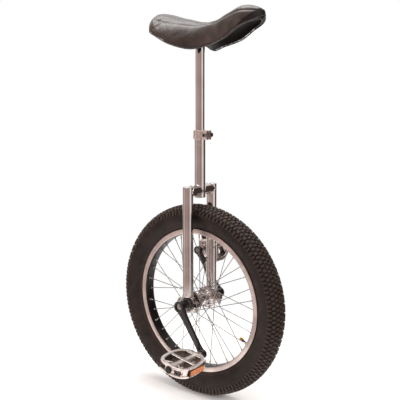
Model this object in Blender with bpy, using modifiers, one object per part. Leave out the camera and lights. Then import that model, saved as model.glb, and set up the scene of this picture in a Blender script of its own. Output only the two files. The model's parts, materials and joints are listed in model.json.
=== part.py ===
# Unicycle: a chromed fork frame on a knobby wheel, with a sliding seatpost and a padded saddle.
# X runs along the axle (the rider's right side is -X), the front is -Y and +Z is up.
# The origin is on the ground, at the middle of the tyre's contact face.

import math

import bmesh
import bpy
from mathutils import Matrix, Vector

MM = 0.001
GAP = 0.3  # between pieces that touch

# wheel, in millimetres
TYRE_R = 266.0
RIM_R = 199.5
RIM_HALF_W = 17.6
RIM_INNER_R = 185.8
RIM_FLOOR = 2.5
WHEEL_SIDES = 48
SPOKE_R = 1.2
SPOKES_EACH_WAY = 9
SPOKE_LEAD = math.radians(60)  # three-cross lacing
VALVE_ANGLE = math.radians(31.6)  # below the horizontal, towards the front
AXLE_Z = TYRE_R

# hub and bearings
FLANGE_X = 31.0
FLANGE_R = 30.0
AXLE_R = 10.7
AXLE_END_R = 9.6
AXLE_HALF = 86.0
BEARING_X = 51.4
BEARING_HALF_W = 6.0
BEARING_R = 21.0
HOLDER_R = 24.8
HOLDER_HALF_W = 6.5
BOLT_Y = 29.0
BOLT_HOLE_R = 2.8
EAR_HEIGHT = 7.0
RACE_R = 15.0  # where the inner ring ends; the outer ring starts a gap further out

# fork, seat tube and clamp
LEG_R = 14.3
LEG_WALL = 1.6
LEG_TOP = 583.0
CROWN_Z = 571.0
SEAT_TUBE_R = 15.0
SEAT_TUBE_BORE_R = 12.9
SEAT_TUBE_LOW = 551.0
SEAT_TUBE_TOP = 728.0
CLAMP_Z = 719.0
CLAMP_HALF = 12.0
CLAMP_R = 19.3
CLAMP_BOLT_Y = -24.5

# seat
POST_R = 12.6
POST_BORE_R = 10.9
POST_LOW = 636.0
POST_TOP = 966.0
PLATE = 3.0
PLATE_HALF_X = 21.0
PLATE_HALF_Y = 42.0
STUD_X = 14.5
STUD_Y = 31.0
STUD_HOLE_R = 3.3
SADDLE_NOSE_Y = -196.0
SADDLE_TAIL_Y = 130.0
SADDLE_NOSE_ROUND = 44.0
SADDLE_TAIL_ROUND = 41.0
# stations evenly spaced from nose to tail: half width, height of the crest, height of the lower edge
SADDLE_STATIONS = (
    (39, 1033, 1008),
    (43, 1039, 990),
    (44, 1027, 963),
    (38, 1012, 949),
    (54, 1008, 940),
    (84, 1015, 953),
    (90, 1024, 977),
    (84, 1046, 999),
)
PAD_TOP = 24.0
PAD_SIDE = 7.0
PAN = 4.0
SADDLE_ROWS = 22
SADDLE_ARCH = 10

# cranks and pedals
CRANK_LENGTH = 136.2
CRANK_ANGLE = math.radians(35.2)  # the right crank's lean towards the front, from straight down
CRANK_BOSS_R = 15.5
CRANK_BOSS_X = (64.0, 94.0)
CRANK_END_R = 12.0
CRANK_END_X = (85.0, 98.0)
PEDAL_X = (115.0, 225.0)
PEDAL_HALF_H = 12.5
PEDAL_CAP_X = 229.0
PEDAL_TILT = {-1: math.radians(10), 1: math.radians(85)}
SPINDLE_R = 6.0
REFLECTOR_X = (145.0, 199.0)
REFLECTOR_HALF_H = 7.5
REFLECTOR_Y = (42.5, 48.5)
PEDAL_WINDOWS = ((131, 166, 33), (173, 211, 35))  # from and to along the spindle, and half width
PEDAL_BEAM = 13.5  # half width of the solid bar round the spindle
PEDAL_SLOT_Y = (15.0, 30.0)
PEDAL_SLOT_HALF_H = 5.5

SIDES = {"right": -1, "left": 1}


def clear_scene():
    for obj in list(bpy.data.objects):
        bpy.data.objects.remove(obj, do_unlink=True)


def new_collection(name):
    found = bpy.data.collections.new(name)
    bpy.context.scene.collection.children.link(found)
    return found


def new_material(name, colour, metallic, roughness):
    made = bpy.data.materials.new(name)
    made.use_nodes = True
    shader = made.node_tree.nodes["Principled BSDF"]
    shader.inputs["Base Color"].default_value = (*colour, 1)
    shader.inputs["Metallic"].default_value = metallic
    shader.inputs["Roughness"].default_value = roughness
    return made


clear_scene()
PARTS = new_collection("unicycle")
CUTTERS = new_collection("cutters")
CHROME = new_material("chrome_plated_steel", (0.62, 0.58, 0.57), 1.0, 0.12)
STEEL = new_material("zinc_plated_steel", (0.55, 0.55, 0.56), 1.0, 0.3)
ALLOY = new_material("polished_alloy", (0.72, 0.70, 0.69), 1.0, 0.22)
SPOKE_STEEL = new_material("stainless_spokes", (0.6, 0.6, 0.62), 1.0, 0.25)
BLACK_ALLOY = new_material("black_rim", (0.02, 0.02, 0.022), 0.6, 0.35)
CRANK_BLACK = new_material("black_crank_paint", (0.01, 0.01, 0.011), 0.2, 0.3)
RUBBER = new_material("tyre_rubber", (0.03, 0.025, 0.024), 0.0, 0.75)
VINYL = new_material("saddle_vinyl", (0.025, 0.02, 0.02), 0.0, 0.4)
PLASTIC = new_material("black_plastic", (0.015, 0.013, 0.013), 0.0, 0.45)
BRASS = new_material("brass_cap", (0.6, 0.42, 0.12), 1.0, 0.3)
REFLECTOR = new_material("amber_reflector", (0.8, 0.28, 0.02), 0.0, 0.2)


def empty(name, where, parent=None, tilt=0.0):
    made = bpy.data.objects.new(name, None)
    made.location = Vector(where) * MM
    made.rotation_euler = (tilt, 0, 0)
    made.parent = parent
    PARTS.objects.link(made)
    return made


FRAME = empty("frame_origin", (0, 0, 0))
SEAT = empty("seat_slide_axis", (0, 0, CLAMP_Z))
WHEEL = empty("wheel_axis", (0, 0, AXLE_Z))
PEDAL_AXES = {
    side: empty(
        f"{name}_pedal_axis",
        (0, side * CRANK_LENGTH * math.sin(CRANK_ANGLE), side * CRANK_LENGTH * math.cos(CRANK_ANGLE)),
        WHEEL,
        PEDAL_TILT[side],
    )
    for name, side in SIDES.items()
}


def add_object(name, mesh, material, parent, where=(0, 0, 0), along="Z", cutter=False):
    # the object of a mesh whose coordinates are in millimetres; "X" lays its Z axis along X
    mesh.transform(Matrix.Scale(MM, 4))
    obj = bpy.data.objects.new(name, mesh)
    obj.location = Vector(where) * MM
    obj.rotation_euler = (0, math.pi / 2 if along == "X" else 0, 0)
    obj.parent = parent
    if cutter:
        CUTTERS.objects.link(obj)
        obj.hide_render = True
        obj.display_type = "WIRE"
        return obj
    mesh.materials.append(material)
    PARTS.objects.link(obj)
    return obj


def smooth(obj, degrees=35):
    obj.data.shade_smooth()
    obj.data.set_sharp_from_angle(angle=math.radians(degrees))
    return obj


def bmesh_to_mesh(name, built):
    mesh = bpy.data.meshes.new(name)
    bmesh.ops.recalc_face_normals(built, faces=built.faces)
    built.to_mesh(mesh)
    built.free()
    return mesh


def turned(name, profile, material, parent, where=(0, 0, 0), along="Z", sides=24, closed=True, hollow=()):
    # a turned piece: the profile holds (radius, height) points, its outer side from top to bottom,
    # and hollow is the outline of a space inside it, run the other way round
    mesh = bpy.data.meshes.new(name)
    half = math.pi / sides  # puts the middle of a face, and not a corner, at the bottom
    points = [(r * math.cos(half), r * math.sin(half), h) for r, h in (*profile, *hollow)]
    count = len(profile)
    edges = [(i, i + 1) for i in range(count - 1)]
    if closed:
        edges.append((count - 1, 0))
    edges += [(count + i, count + (i + 1) % len(hollow)) for i in range(len(hollow))]
    mesh.from_pydata(points, edges, [])
    obj = add_object(name, mesh, material, parent, where, along)
    screw = obj.modifiers.new("turn", "SCREW")
    screw.steps = sides
    screw.render_steps = sides
    screw.use_merge_vertices = True
    screw.merge_threshold = 0.00001
    screw.use_smooth_shade = True
    return obj


def ring(inner, outer, low, high):
    return [(outer, high), (outer, low), (inner, low), (inner, high)]


def rod(radius, low, high):
    return [(0, high), (radius, high), (radius, low), (0, low)]


def cylinder_mesh(name, radius, low, high, sides=24):
    built = bmesh.new()
    bmesh.ops.create_cone(
        built,
        cap_ends=True,
        segments=sides,
        radius1=radius,
        radius2=radius,
        depth=high - low,
        matrix=Matrix.Translation((0, 0, (low + high) / 2)),
    )
    return bmesh_to_mesh(name, built)


def box_mesh(name, low, high):
    built = bmesh.new()
    bmesh.ops.create_cube(built, size=1)
    centre = (Vector(low) + Vector(high)) / 2
    size = Vector(high) - Vector(low)
    bmesh.ops.scale(built, vec=size, verts=built.verts)
    bmesh.ops.translate(built, vec=centre, verts=built.verts)
    return bmesh_to_mesh(name, built)


def combine(obj, other, operation):
    change = obj.modifiers.new(other.name, "BOOLEAN")
    change.object = other
    change.operation = operation
    change.solver = "EXACT"


def cylinder_tool(obj, radius, low, high, where=(0, 0, 0), along="Z", operation="DIFFERENCE", sides=24):
    name = f"{obj.name}_tool_{len(obj.modifiers)}"
    mesh = cylinder_mesh(name, radius, low, high, sides)
    tool = add_object(name, mesh, None, obj.parent, where, along, cutter=True)
    combine(obj, tool, operation)


def box_tool(obj, low, high, operation="DIFFERENCE"):
    name = f"{obj.name}_tool_{len(obj.modifiers)}"
    tool = add_object(name, box_mesh(name, low, high), None, obj.parent, cutter=True)
    combine(obj, tool, operation)


def span(side, near, far):
    # a stretch along X between two distances from the middle, lowest first
    return tuple(sorted((side * near, side * far)))


# ---- frame ----


def seat_tube():
    obj = turned(
        "seat_tube",
        ring(SEAT_TUBE_BORE_R, SEAT_TUBE_R, SEAT_TUBE_LOW, SEAT_TUBE_TOP),
        CHROME,
        FRAME,
    )
    box_tool(obj, (-1.5, -20, CLAMP_Z - 26), (1.5, -8, SEAT_TUBE_TOP + 5))


def crown_tube(name, side):
    low, high = span(side, 2.0, BEARING_X)
    where = (0, 0, CROWN_Z)
    mesh = cylinder_mesh(name, LEG_R, low, high)
    obj = smooth(add_object(name, mesh, CHROME, FRAME, where, "X"))
    cylinder_tool(obj, LEG_R - LEG_WALL, low - 5, high + 5, where, "X")
    cylinder_tool(obj, SEAT_TUBE_R + GAP, SEAT_TUBE_LOW - 10, SEAT_TUBE_TOP)
    cylinder_tool(obj, LEG_R + GAP, CROWN_Z - 40, CROWN_Z + 40, (side * BEARING_X, 0, 0))


def leg(name, side):
    where = (side * BEARING_X, 0, 0)
    low = AXLE_Z + HOLDER_R + 0.5
    turned(f"{name}_fork_leg", ring(LEG_R - LEG_WALL, LEG_R, low, LEG_TOP), CHROME, FRAME, where)
    seat = LEG_TOP + GAP
    plug = LEG_R - LEG_WALL - GAP
    profile = [(0, seat + 2), (LEG_R - 0.6, seat + 2), (LEG_R, seat + 1.4), (LEG_R, seat)]
    profile += [(plug, seat), (plug, seat - 6), (0, seat - 6)]
    turned(f"{name}_leg_cap", profile, CHROME, FRAME, where, closed=False)


def bearing_half(name, side, up):
    # one half of the split housing, with an ear each side for its bolts
    middle = side * BEARING_X
    low, high = middle - HOLDER_HALF_W, middle + HOLDER_HALF_W
    where = (0, 0, AXLE_Z)
    mesh = cylinder_mesh(name, HOLDER_R, low, high, 32)
    obj = smooth(add_object(name, mesh, CHROME, FRAME, where, "X"))
    ear_low, ear_high = sorted((AXLE_Z, AXLE_Z + up * EAR_HEIGHT))
    ear_y = BOLT_Y + 5.5
    box_tool(obj, (low + 0.4, -ear_y, ear_low), (high - 0.4, ear_y, ear_high), "UNION")
    if up > 0:
        neck = (middle, 0, AXLE_Z)
        cylinder_tool(obj, LEG_R, 19.0, HOLDER_R + 0.2, neck, "Z", "UNION")
    cylinder_tool(obj, BEARING_R + 1.5 * GAP, low - 10, high + 10, where, "X", sides=32)
    far = AXLE_Z - up * 60
    keep = AXLE_Z + up * 0.6
    box_tool(obj, (middle - 20, -60, min(far, keep)), (middle + 20, 60, max(far, keep)))
    for y in (-BOLT_Y, BOLT_Y):
        cylinder_tool(obj, BOLT_HOLE_R, -20, 20, (middle, y, AXLE_Z), sides=12)


def bearing_bolts(name, side):
    for end, y in (("front", -BOLT_Y), ("rear", BOLT_Y)):
        profile = [(0, 11.5), (3.6, 11.5), (4.4, 10.5), (4.4, 7.3), (2.4, 7.3), (2.4, -7.3)]
        profile += [(4.6, -7.3), (4.6, -17.5), (3.2, -21.0), (0, -22.0)]
        turned(
            f"{name}_{end}_bearing_bolt",
            profile,
            STEEL,
            FRAME,
            (side * BEARING_X, y, AXLE_Z),
            sides=12,
            closed=False,
        )


def bearing_rings(name, side):
    where = (side * BEARING_X, 0, 0)
    outer = ring(RACE_R + GAP, BEARING_R, -BEARING_HALF_W, BEARING_HALF_W)
    lifted = (where[0], 0, AXLE_Z)
    turned(f"{name}_bearing_outer_ring", outer, STEEL, FRAME, lifted, "X", 28)
    inner = ring(AXLE_R + GAP, RACE_R, -BEARING_HALF_W, BEARING_HALF_W)
    turned(f"{name}_bearing_inner_ring", inner, STEEL, WHEEL, where, "X", 28)


def seat_clamp():
    low, high = CLAMP_Z - CLAMP_HALF, CLAMP_Z + CLAMP_HALF
    mesh = cylinder_mesh("seat_clamp", CLAMP_R, low, high, 32)
    obj = smooth(add_object("seat_clamp", mesh, ALLOY, FRAME))
    box_tool(obj, (-10.5, -31, low + 2), (10.5, -14, high - 2), "UNION")
    cylinder_tool(obj, SEAT_TUBE_R + GAP, low - 5, high + 5, sides=24)
    box_tool(obj, (-1.5, -45, low - 5), (1.5, -10, high + 5))
    bolt = (0, CLAMP_BOLT_Y, CLAMP_Z)
    cylinder_tool(obj, 3.3, -30, 30, bolt, "X", sides=12)
    profile = [(0, 18.5), (5.4, 18.5), (6.4, 17.5), (6.4, 10.8)]
    profile += [(3.0, 10.8), (3.0, -17.0), (0, -17.0)]
    turned("seat_clamp_bolt", profile, STEEL, FRAME, bolt, "X", 12, closed=False)
    turned("seat_clamp_nut", ring(3.9, 6.4, -15.8, -10.8), STEEL, FRAME, bolt, "X", 6)


# ---- seat ----


def to_seat(z):
    return z - CLAMP_Z


def seatpost():
    profile = ring(POST_BORE_R, POST_R, to_seat(POST_LOW), to_seat(POST_TOP))
    turned("seatpost", profile, CHROME, SEAT)


def saddle_bracket():
    low = to_seat(POST_TOP) + GAP
    corner = (PLATE_HALF_X, PLATE_HALF_Y, low + PLATE)
    mesh = box_mesh("saddle_bracket", (-PLATE_HALF_X, -PLATE_HALF_Y, low), corner)
    obj = add_object("saddle_bracket", mesh, CHROME, SEAT)
    for name, x, y in studs():
        cylinder_tool(obj, STUD_HOLE_R, low - 5, low + PLATE + 5, (x, y, 0), sides=12)
        top = low + PLATE + 7.0
        profile = [(0, top), (3.0, top), (3.0, low - GAP), (5.6, low - GAP)]
        profile += [(5.6, low - 5.5), (0, low - 5.5)]
        turned(name, profile, STEEL, SEAT, (x, y, 0), sides=12, closed=False)


def studs():
    for end, y in (("front", -STUD_Y), ("rear", STUD_Y)):
        for name, side in SIDES.items():
            yield f"{name}_{end}_saddle_bolt", side * STUD_X, y


def station_value(column, along):
    # a smooth curve through the stations, with slopes that never overshoot; along runs 0 to 1
    values = [row[column] for row in SADDLE_STATIONS]
    last = len(values) - 1
    place = min(max(along, 0.0), 1.0) * last
    i = min(int(place), last - 1)
    t = place - i
    rises = [values[k + 1] - values[k] for k in range(last)]

    def slope(k):
        before = rises[max(k - 1, 0)]
        after = rises[min(k, last - 1)]
        if before * after <= 0:
            return 0.0
        return 2 * before * after / (before + after)

    square, cube = t * t, t * t * t
    start = (2 * cube - 3 * square + 1) * values[i] + (cube - 2 * square + t) * slope(i)
    return start + (3 * square - 2 * cube) * values[i + 1] + (cube - square) * slope(i + 1)


def saddle_arch(row, side_in, top_in):
    # the arch of one cross-section, from the left edge over the crest to the right edge
    nose, tail = SADDLE_NOSE_Y + side_in, SADDLE_TAIL_Y - side_in
    y = nose + (tail - nose) * (0.5 - 0.5 * math.cos(math.pi * row / SADDLE_ROWS))
    along = (y - SADDLE_NOSE_Y) / (SADDLE_TAIL_Y - SADDLE_NOSE_Y)
    from_nose = min((y - nose) / (SADDLE_NOSE_ROUND - side_in), 1.0)
    from_tail = min((tail - y) / (SADDLE_TAIL_ROUND - side_in), 1.0)
    nose_fullness = math.sqrt(max(1 - (1 - from_nose) ** 2, 0))
    tail_fullness = math.sqrt(max(1 - (1 - from_tail) ** 2, 0))
    fullness = nose_fullness * tail_fullness
    half_width = (station_value(0, along) - side_in) * fullness
    edge = station_value(2, along)
    height = station_value(1, along) - top_in - edge
    crown = math.sqrt(fullness)
    points = []
    for k in range(SADDLE_ARCH + 1):
        angle = math.pi * k / SADDLE_ARCH
        across = math.copysign(abs(math.cos(angle)) ** 0.75, math.cos(angle))
        up = min(0.45 * (1 - crown) + crown * abs(math.sin(angle)) ** 0.75, 1.0)
        points.append(Vector((half_width * across, y, to_seat(edge + height * up))))
    return points


def saddle_shell(name, outside, inside, flat_below=None):
    # a closed shell between two arched surfaces, each given as (side inset, crest inset)
    built = bmesh.new()
    layers = []
    for side_in, top_in in (outside, inside):
        rows = [saddle_arch(i, side_in, top_in) for i in range(SADDLE_ROWS + 1)]
        layers.append(rows)
    if flat_below is not None:
        for point in (p for row in layers[1] for p in row):
            if abs(point.x) < PLATE_HALF_X + 7 and abs(point.y) < PLATE_HALF_Y + 8:
                point.z = min(point.z, flat_below)
    grids = [[[built.verts.new(p) for p in row] for row in rows] for rows in layers]
    for grid in grids:
        for i in range(SADDLE_ROWS):
            for k in range(SADDLE_ARCH):
                built.faces.new((grid[i][k], grid[i + 1][k], grid[i + 1][k + 1], grid[i][k + 1]))
    outer, inner = grids
    for i in range(SADDLE_ROWS):
        for k in (0, SADDLE_ARCH):
            built.faces.new((outer[i][k], outer[i + 1][k], inner[i + 1][k], inner[i][k]))
    bmesh.ops.remove_doubles(built, verts=built.verts, dist=0.001)
    bmesh.ops.dissolve_degenerate(built, edges=built.edges, dist=0.001)
    return bmesh_to_mesh(name, built)


def wedge(name, line, grow):
    # the space below and beyond a sloping line given by two (y, z) points, across the whole saddle
    (y0, z0), (y1, z1) = line
    along = Vector((0, y1 - y0, z1 - z0)).normalized()
    down = Vector((0, along.z, -along.y))
    if down.z > 0:
        down = -down
    start = Vector((0, y0, to_seat(z0))) - down * grow
    middle = start + along * 60 + down * 60
    built = bmesh.new()
    turn = Matrix((Vector((1, 0, 0)), along, down)).transposed().to_4x4()
    bmesh.ops.create_cube(built, size=1)
    bmesh.ops.scale(built, vec=(260, 220, 120), verts=built.verts)
    bmesh.ops.transform(built, matrix=Matrix.Translation(middle) @ turn, verts=built.verts)
    mesh = bmesh_to_mesh(name, built)
    return add_object(name, mesh, None, SEAT, cutter=True)


def saddle():
    outside = (0.0, 0.0)
    lining = (PAD_SIDE, PAD_TOP)
    shell = saddle_shell("saddle_cover", outside, lining)
    cover = smooth(add_object("saddle_cover", shell, VINYL, SEAT), 60)
    guards = {
        "rear_bumper": ((86, 958), (126, 1032)),
        "front_bumper": ((-118, 965), (-192, 1027)),
    }
    for name, line in guards.items():
        guard = smooth(add_object(name, saddle_shell(name, outside, lining), PLASTIC, SEAT), 40)
        combine(guard, wedge(f"{name}_wedge", line, 0.0), "INTERSECT")
        combine(cover, wedge(f"{name}_room", line, GAP), "DIFFERENCE")
    pan_out = (PAD_SIDE + GAP, PAD_TOP + GAP)
    pan_in = (PAD_SIDE + GAP + PAN, PAD_TOP + GAP + PAN)
    plate_top = to_seat(POST_TOP) + GAP + PLATE
    mesh = saddle_shell("saddle_base", pan_out, pan_in, plate_top + GAP)
    pan = smooth(add_object("saddle_base", mesh, PLASTIC, SEAT), 40)
    for _, x, y in studs():
        cylinder_tool(pan, STUD_HOLE_R, plate_top - 5, plate_top + 7.5, (x, y, 0), sides=12)


# ---- wheel ----


def tyre():
    tread = [(247, 31.8), (256, 29.5), (262, 22), (TYRE_R, 8)]
    shoulder = [(189.6, 9.4), (189.6, 14.2), (200.5, 14.6), (208, 19), (220, 28), (233, 31.5)]
    lining = [(199, 9.2), (213, 16.5), (228, 24.3), (240, 24.8), (256.5, 9)]
    side_up = shoulder + tread
    loop = side_up + [(r, -x) for r, x in reversed(side_up)]
    loop += [(r, -x) for r, x in lining] + [(r, x) for r, x in reversed(lining)]
    corner = 1 / math.cos(math.pi / WHEEL_SIDES)
    loop = [(r * corner, x) for r, x in loop]
    turned("tyre", loop, RUBBER, WHEEL, along="X", sides=WHEEL_SIDES)


def inner_tube():
    skin = [(205, 7), (214, 14), (236, 23.5), (255, 8)]
    space = [(207, 6), (215, 11.8), (236, 20.8), (253, 6.5)]
    outline = skin + [(r, -x) for r, x in reversed(skin)]
    hollow = [(r, -x) for r, x in space] + [(r, x) for r, x in reversed(space)]
    tube = turned("inner_tube", outline, RUBBER, WHEEL, along="X", sides=WHEEL_SIDES, hollow=hollow)
    cylinder_tool(tube, 3.0, 190, 215, sides=8)  # the mouth of the valve
    point_along_valve(tube.modifiers[-1].object)


def valve_direction():
    return Vector((0, -math.cos(VALVE_ANGLE), -math.sin(VALVE_ANGLE)))


def point_along_valve(obj):
    obj.rotation_euler = valve_direction().to_track_quat("Z", "Y").to_euler()
    return obj


def rim():
    floor = RIM_INNER_R + RIM_FLOOR
    side_up = [(floor, 15.0), (RIM_R, 15.8), (RIM_R, RIM_HALF_W)]
    side_up += [(187.6, RIM_HALF_W), (RIM_INNER_R, 15.6)]
    loop = [(r, -x) for r, x in side_up] + [(r, x) for r, x in reversed(side_up)]
    obj = turned("rim", loop, BLACK_ALLOY, WHEEL, along="X", sides=WHEEL_SIDES)
    band = ring(floor + GAP, floor + 1.0, -8.5, 8.5)
    strip = turned("rim_strip", band, RUBBER, WHEEL, along="X", sides=WHEEL_SIDES)
    for piece in (obj, strip):
        cylinder_tool(piece, 4.3, 180, 200, sides=12)
        point_along_valve(piece.modifiers[-1].object)


def valve():
    stem = turned("valve_stem", rod(4.0, 167.3, 203.8), RUBBER, WHEEL, sides=12, closed=False)
    point_along_valve(stem)
    profile = [(0, 167.0), (4.2, 167.0), (4.2, 160.0), (2.6, 157.0), (0, 157.0)]
    point_along_valve(turned("valve_cap", profile, BRASS, WHEEL, sides=12, closed=False))


def spoke_mesh(name, side, lead, first, roll):
    # nine straight spokes that all lean the same way, from the flange's edge to the rim's inner face
    built = bmesh.new()
    for i in range(SPOKES_EACH_WAY):
        hub_angle = first + 2 * math.pi * i / SPOKES_EACH_WAY
        rim_angle = hub_angle + lead
        start = circle_point(side * FLANGE_X, FLANGE_R + 1.5, hub_angle)
        end = circle_point(side * 4.0, RIM_INNER_R - 1.5, rim_angle)
        turn = (end - start).to_track_quat("Z", "Y").to_matrix().to_4x4() @ Matrix.Rotation(roll, 4, "Z")
        bmesh.ops.create_cone(
            built,
            cap_ends=True,
            segments=4,
            radius1=SPOKE_R,
            radius2=SPOKE_R,
            depth=(end - start).length,
            matrix=Matrix.Translation((start + end) / 2) @ turn,
        )
    return bmesh_to_mesh(name, built)


def circle_point(x, radius, angle):
    return Vector((x, radius * math.cos(angle), radius * math.sin(angle)))


def spokes(name, side):
    first = 0.0 if side > 0 else math.pi / (2 * SPOKES_EACH_WAY)
    half_pitch = math.pi / SPOKES_EACH_WAY
    leading = spoke_mesh(f"{name}_spokes", side, SPOKE_LEAD, first, 0.0)
    trailing = spoke_mesh(f"{name}_trailing", side, -SPOKE_LEAD, first + half_pitch, 0.3)
    obj = add_object(f"{name}_spokes", leading, SPOKE_STEEL, WHEEL)
    combine(obj, add_object(f"{name}_trailing", trailing, None, WHEEL, cutter=True), "UNION")


def hub():
    edge = FLANGE_X + 1.5
    side_up = [(14.2, BEARING_X - BEARING_HALF_W - GAP), (14.2, 36), (22, edge + 0.8), (FLANGE_R, edge)]
    side_up += [(FLANGE_R, edge - 3), (22, edge - 4), (17.5, 21)]
    loop = side_up + [(r, -x) for r, x in reversed(side_up)]
    end = side_up[0][1]
    loop += [(AXLE_R + GAP, -end), (AXLE_R + GAP, end)]
    turned("hub_shell", loop, ALLOY, WHEEL, along="X", sides=28)
    right_end = [(0, 66), (4.3, 66), (4.3, AXLE_HALF)]
    right_end += [(AXLE_END_R, AXLE_HALF), (AXLE_END_R, 62), (AXLE_R, 62)]
    profile = right_end + [(r, -x) for r, x in reversed(right_end)]
    turned("axle", profile, STEEL, WHEEL, along="X", sides=24, closed=False)


# ---- cranks and pedals ----


def arm_mesh(name, side):
    # a tapered bar from the boss to the pedal eye, hanging straight down
    built = bmesh.new()
    bmesh.ops.create_cube(built, size=2)
    middle = side * (CRANK_END_X[0] + CRANK_BOSS_X[1] - 1) / 2
    for corner in built.verts:
        at_end = corner.co.z < 0
        corner.co.y *= 7.2 if at_end else 10.5
        corner.co.x = middle + corner.co.x * 5.2 + side * (2.2 if at_end else -0.6)
        corner.co.z = -CRANK_LENGTH + 4 if at_end else -6
    bmesh.ops.bevel(built, geom=built.edges, offset=2.2, segments=1, affect="EDGES", profile=0.5)
    return bmesh_to_mesh(name, built)


def crank(name, side):
    lean = CRANK_ANGLE + (math.pi if side > 0 else 0)
    holder = empty(f"{name}_crank_axis", (0, 0, 0), WHEEL, -lean)
    obj = smooth(add_object(f"{name}_crank", arm_mesh(f"{name}_crank", side), CRANK_BLACK, holder))
    boss_low, boss_high = span(side, *CRANK_BOSS_X)
    eye_low, eye_high = span(side, *CRANK_END_X)
    eye = (0, 0, -CRANK_LENGTH)
    cylinder_tool(obj, CRANK_BOSS_R, boss_low, boss_high, (0, 0, 0), "X", "UNION", 24)
    cylinder_tool(obj, CRANK_END_R, eye_low, eye_high, eye, "X", "UNION", 20)
    socket_low, socket_high = span(side, CRANK_BOSS_X[0] - 5, AXLE_HALF + GAP)
    cylinder_tool(obj, AXLE_END_R + GAP, socket_low, socket_high, (0, 0, 0), "X")
    recess_low, recess_high = span(side, 88.6, CRANK_BOSS_X[1] + 10)
    cylinder_tool(obj, 9.4, recess_low, recess_high, (0, 0, 0), "X")
    cylinder_tool(obj, 4.6, boss_low - 5, boss_high + 5, (0, 0, 0), "X", sides=12)
    cylinder_tool(obj, 7.4, eye_low - 10, eye_high + 10, eye, "X", sides=16)
    head = [(0, 93.2), (8.0, 93.2), (9.0, 92.2), (9.0, 88.9), (4.0, 88.9), (4.0, 68), (0, 68)]
    bolt = turned(f"{name}_crank_bolt", head, STEEL, WHEEL, along="X", sides=16, closed=False)
    face_outwards(bolt, side)
    spindle = [(0, 218), (SPINDLE_R - 1, 218), (SPINDLE_R, 217), (SPINDLE_R, 112), (7.6, 111)]
    spindle += [(7.6, 102), (9.2, 102), (9.2, 98.4), (7.1, 98.4), (7.1, 86.5), (0, 86.5)]
    shaft = turned(f"{name}_pedal_spindle", spindle, STEEL, holder, eye, "X", 16, closed=False)
    face_outwards(shaft, side)


def face_outwards(obj, side):
    # a piece turned along +X is turned round for the right side
    obj.rotation_euler.y *= side


def pedal_outline():
    # half of the platform seen from above, as (along the spindle, across it)
    return [
        (PEDAL_X[0], 21),
        (121, 28),
        (134, 40),
        (150, 45),
        (170, 46.5),
        (190, 46),
        (206, 43),
        (217, 35),
        (223, 24),
        (PEDAL_X[1], 12),
    ]


def pedal_plate(name, side):
    # the platform's outline as a flat curve, extruded to its thickness
    curve = bpy.data.curves.new(name, "CURVE")
    curve.dimensions = "2D"
    curve.fill_mode = "BOTH"
    curve.extrude = PEDAL_HALF_H * MM
    half = pedal_outline()
    loop = half + [(x, -y) for x, y in reversed(half)]
    line = curve.splines.new("POLY")
    line.points.add(len(loop) - 1)
    for point, (x, y) in zip(line.points, loop):
        point.co = (side * x * MM, y * MM, 0, 1)
    line.use_cyclic_u = True
    guide = bpy.data.objects.new(f"{name}_guide", curve)
    bpy.context.scene.collection.objects.link(guide)
    graph = bpy.context.evaluated_depsgraph_get()
    mesh = bpy.data.meshes.new_from_object(guide.evaluated_get(graph))
    bpy.data.objects.remove(guide)
    built = bmesh.new()
    built.from_mesh(mesh)
    bmesh.ops.remove_doubles(built, verts=built.verts, dist=0.000001)
    bmesh.ops.scale(built, vec=(1 / MM,) * 3, verts=built.verts)
    return bmesh_to_mesh(name, built)


def pedal(name, side):
    axis = PEDAL_AXES[side]
    body = smooth(add_object(f"{name}_pedal", pedal_plate(f"{name}_pedal", side), ALLOY, axis), 30)
    high = PEDAL_HALF_H + 5
    bore_low, bore_high = span(side, 100, 240)
    cylinder_tool(body, SPINDLE_R + 0.4, bore_low, bore_high, (0, 0, 0), "X", sides=16)
    for front in (-1, 1):
        for near, far, wide in PEDAL_WINDOWS:
            low, top = span(side, near, far)
            y_low, y_top = sorted((front * PEDAL_BEAM, front * wide))
            box_tool(body, (low, y_low, -high), (top, y_top, high))
        low, top = span(side, REFLECTOR_X[0] - GAP, REFLECTOR_X[1] + GAP)
        y_low, y_top = sorted((front * (REFLECTOR_Y[0] - GAP), front * 60))
        room = REFLECTOR_HALF_H + GAP
        box_tool(body, (low, y_low, -room), (top, y_top, room))
        low, top = span(side, 205, 240)
        y_low, y_top = sorted(front * y for y in PEDAL_SLOT_Y)
        box_tool(body, (low, y_low, -PEDAL_SLOT_HALF_H), (top, y_top, PEDAL_SLOT_HALF_H))
        end = "front" if front < 0 else "rear"
        reflector(f"{name}_pedal_{end}_reflector", side, front, axis)
    cap = [(0, PEDAL_CAP_X), (8.4, PEDAL_CAP_X), (9.6, PEDAL_CAP_X - 1.2), (9.6, PEDAL_X[1] + GAP)]
    cap += [(SPINDLE_R, PEDAL_X[1] + GAP), (SPINDLE_R, 219), (0, 219)]
    face_outwards(turned(f"{name}_pedal_cap", cap, PLASTIC, axis, along="X", sides=20, closed=False), side)


def reflector(name, side, front, axis):
    low, top = span(side, *REFLECTOR_X)
    y_low, y_top = sorted(front * y for y in REFLECTOR_Y)
    mesh = box_mesh(name, (low, y_low, -REFLECTOR_HALF_H), (top, y_top, REFLECTOR_HALF_H))
    obj = add_object(name, mesh, REFLECTOR, axis)
    rounding = obj.modifiers.new("edges", "BEVEL")
    rounding.width = 0.8 * MM
    rounding.segments = 1


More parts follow.
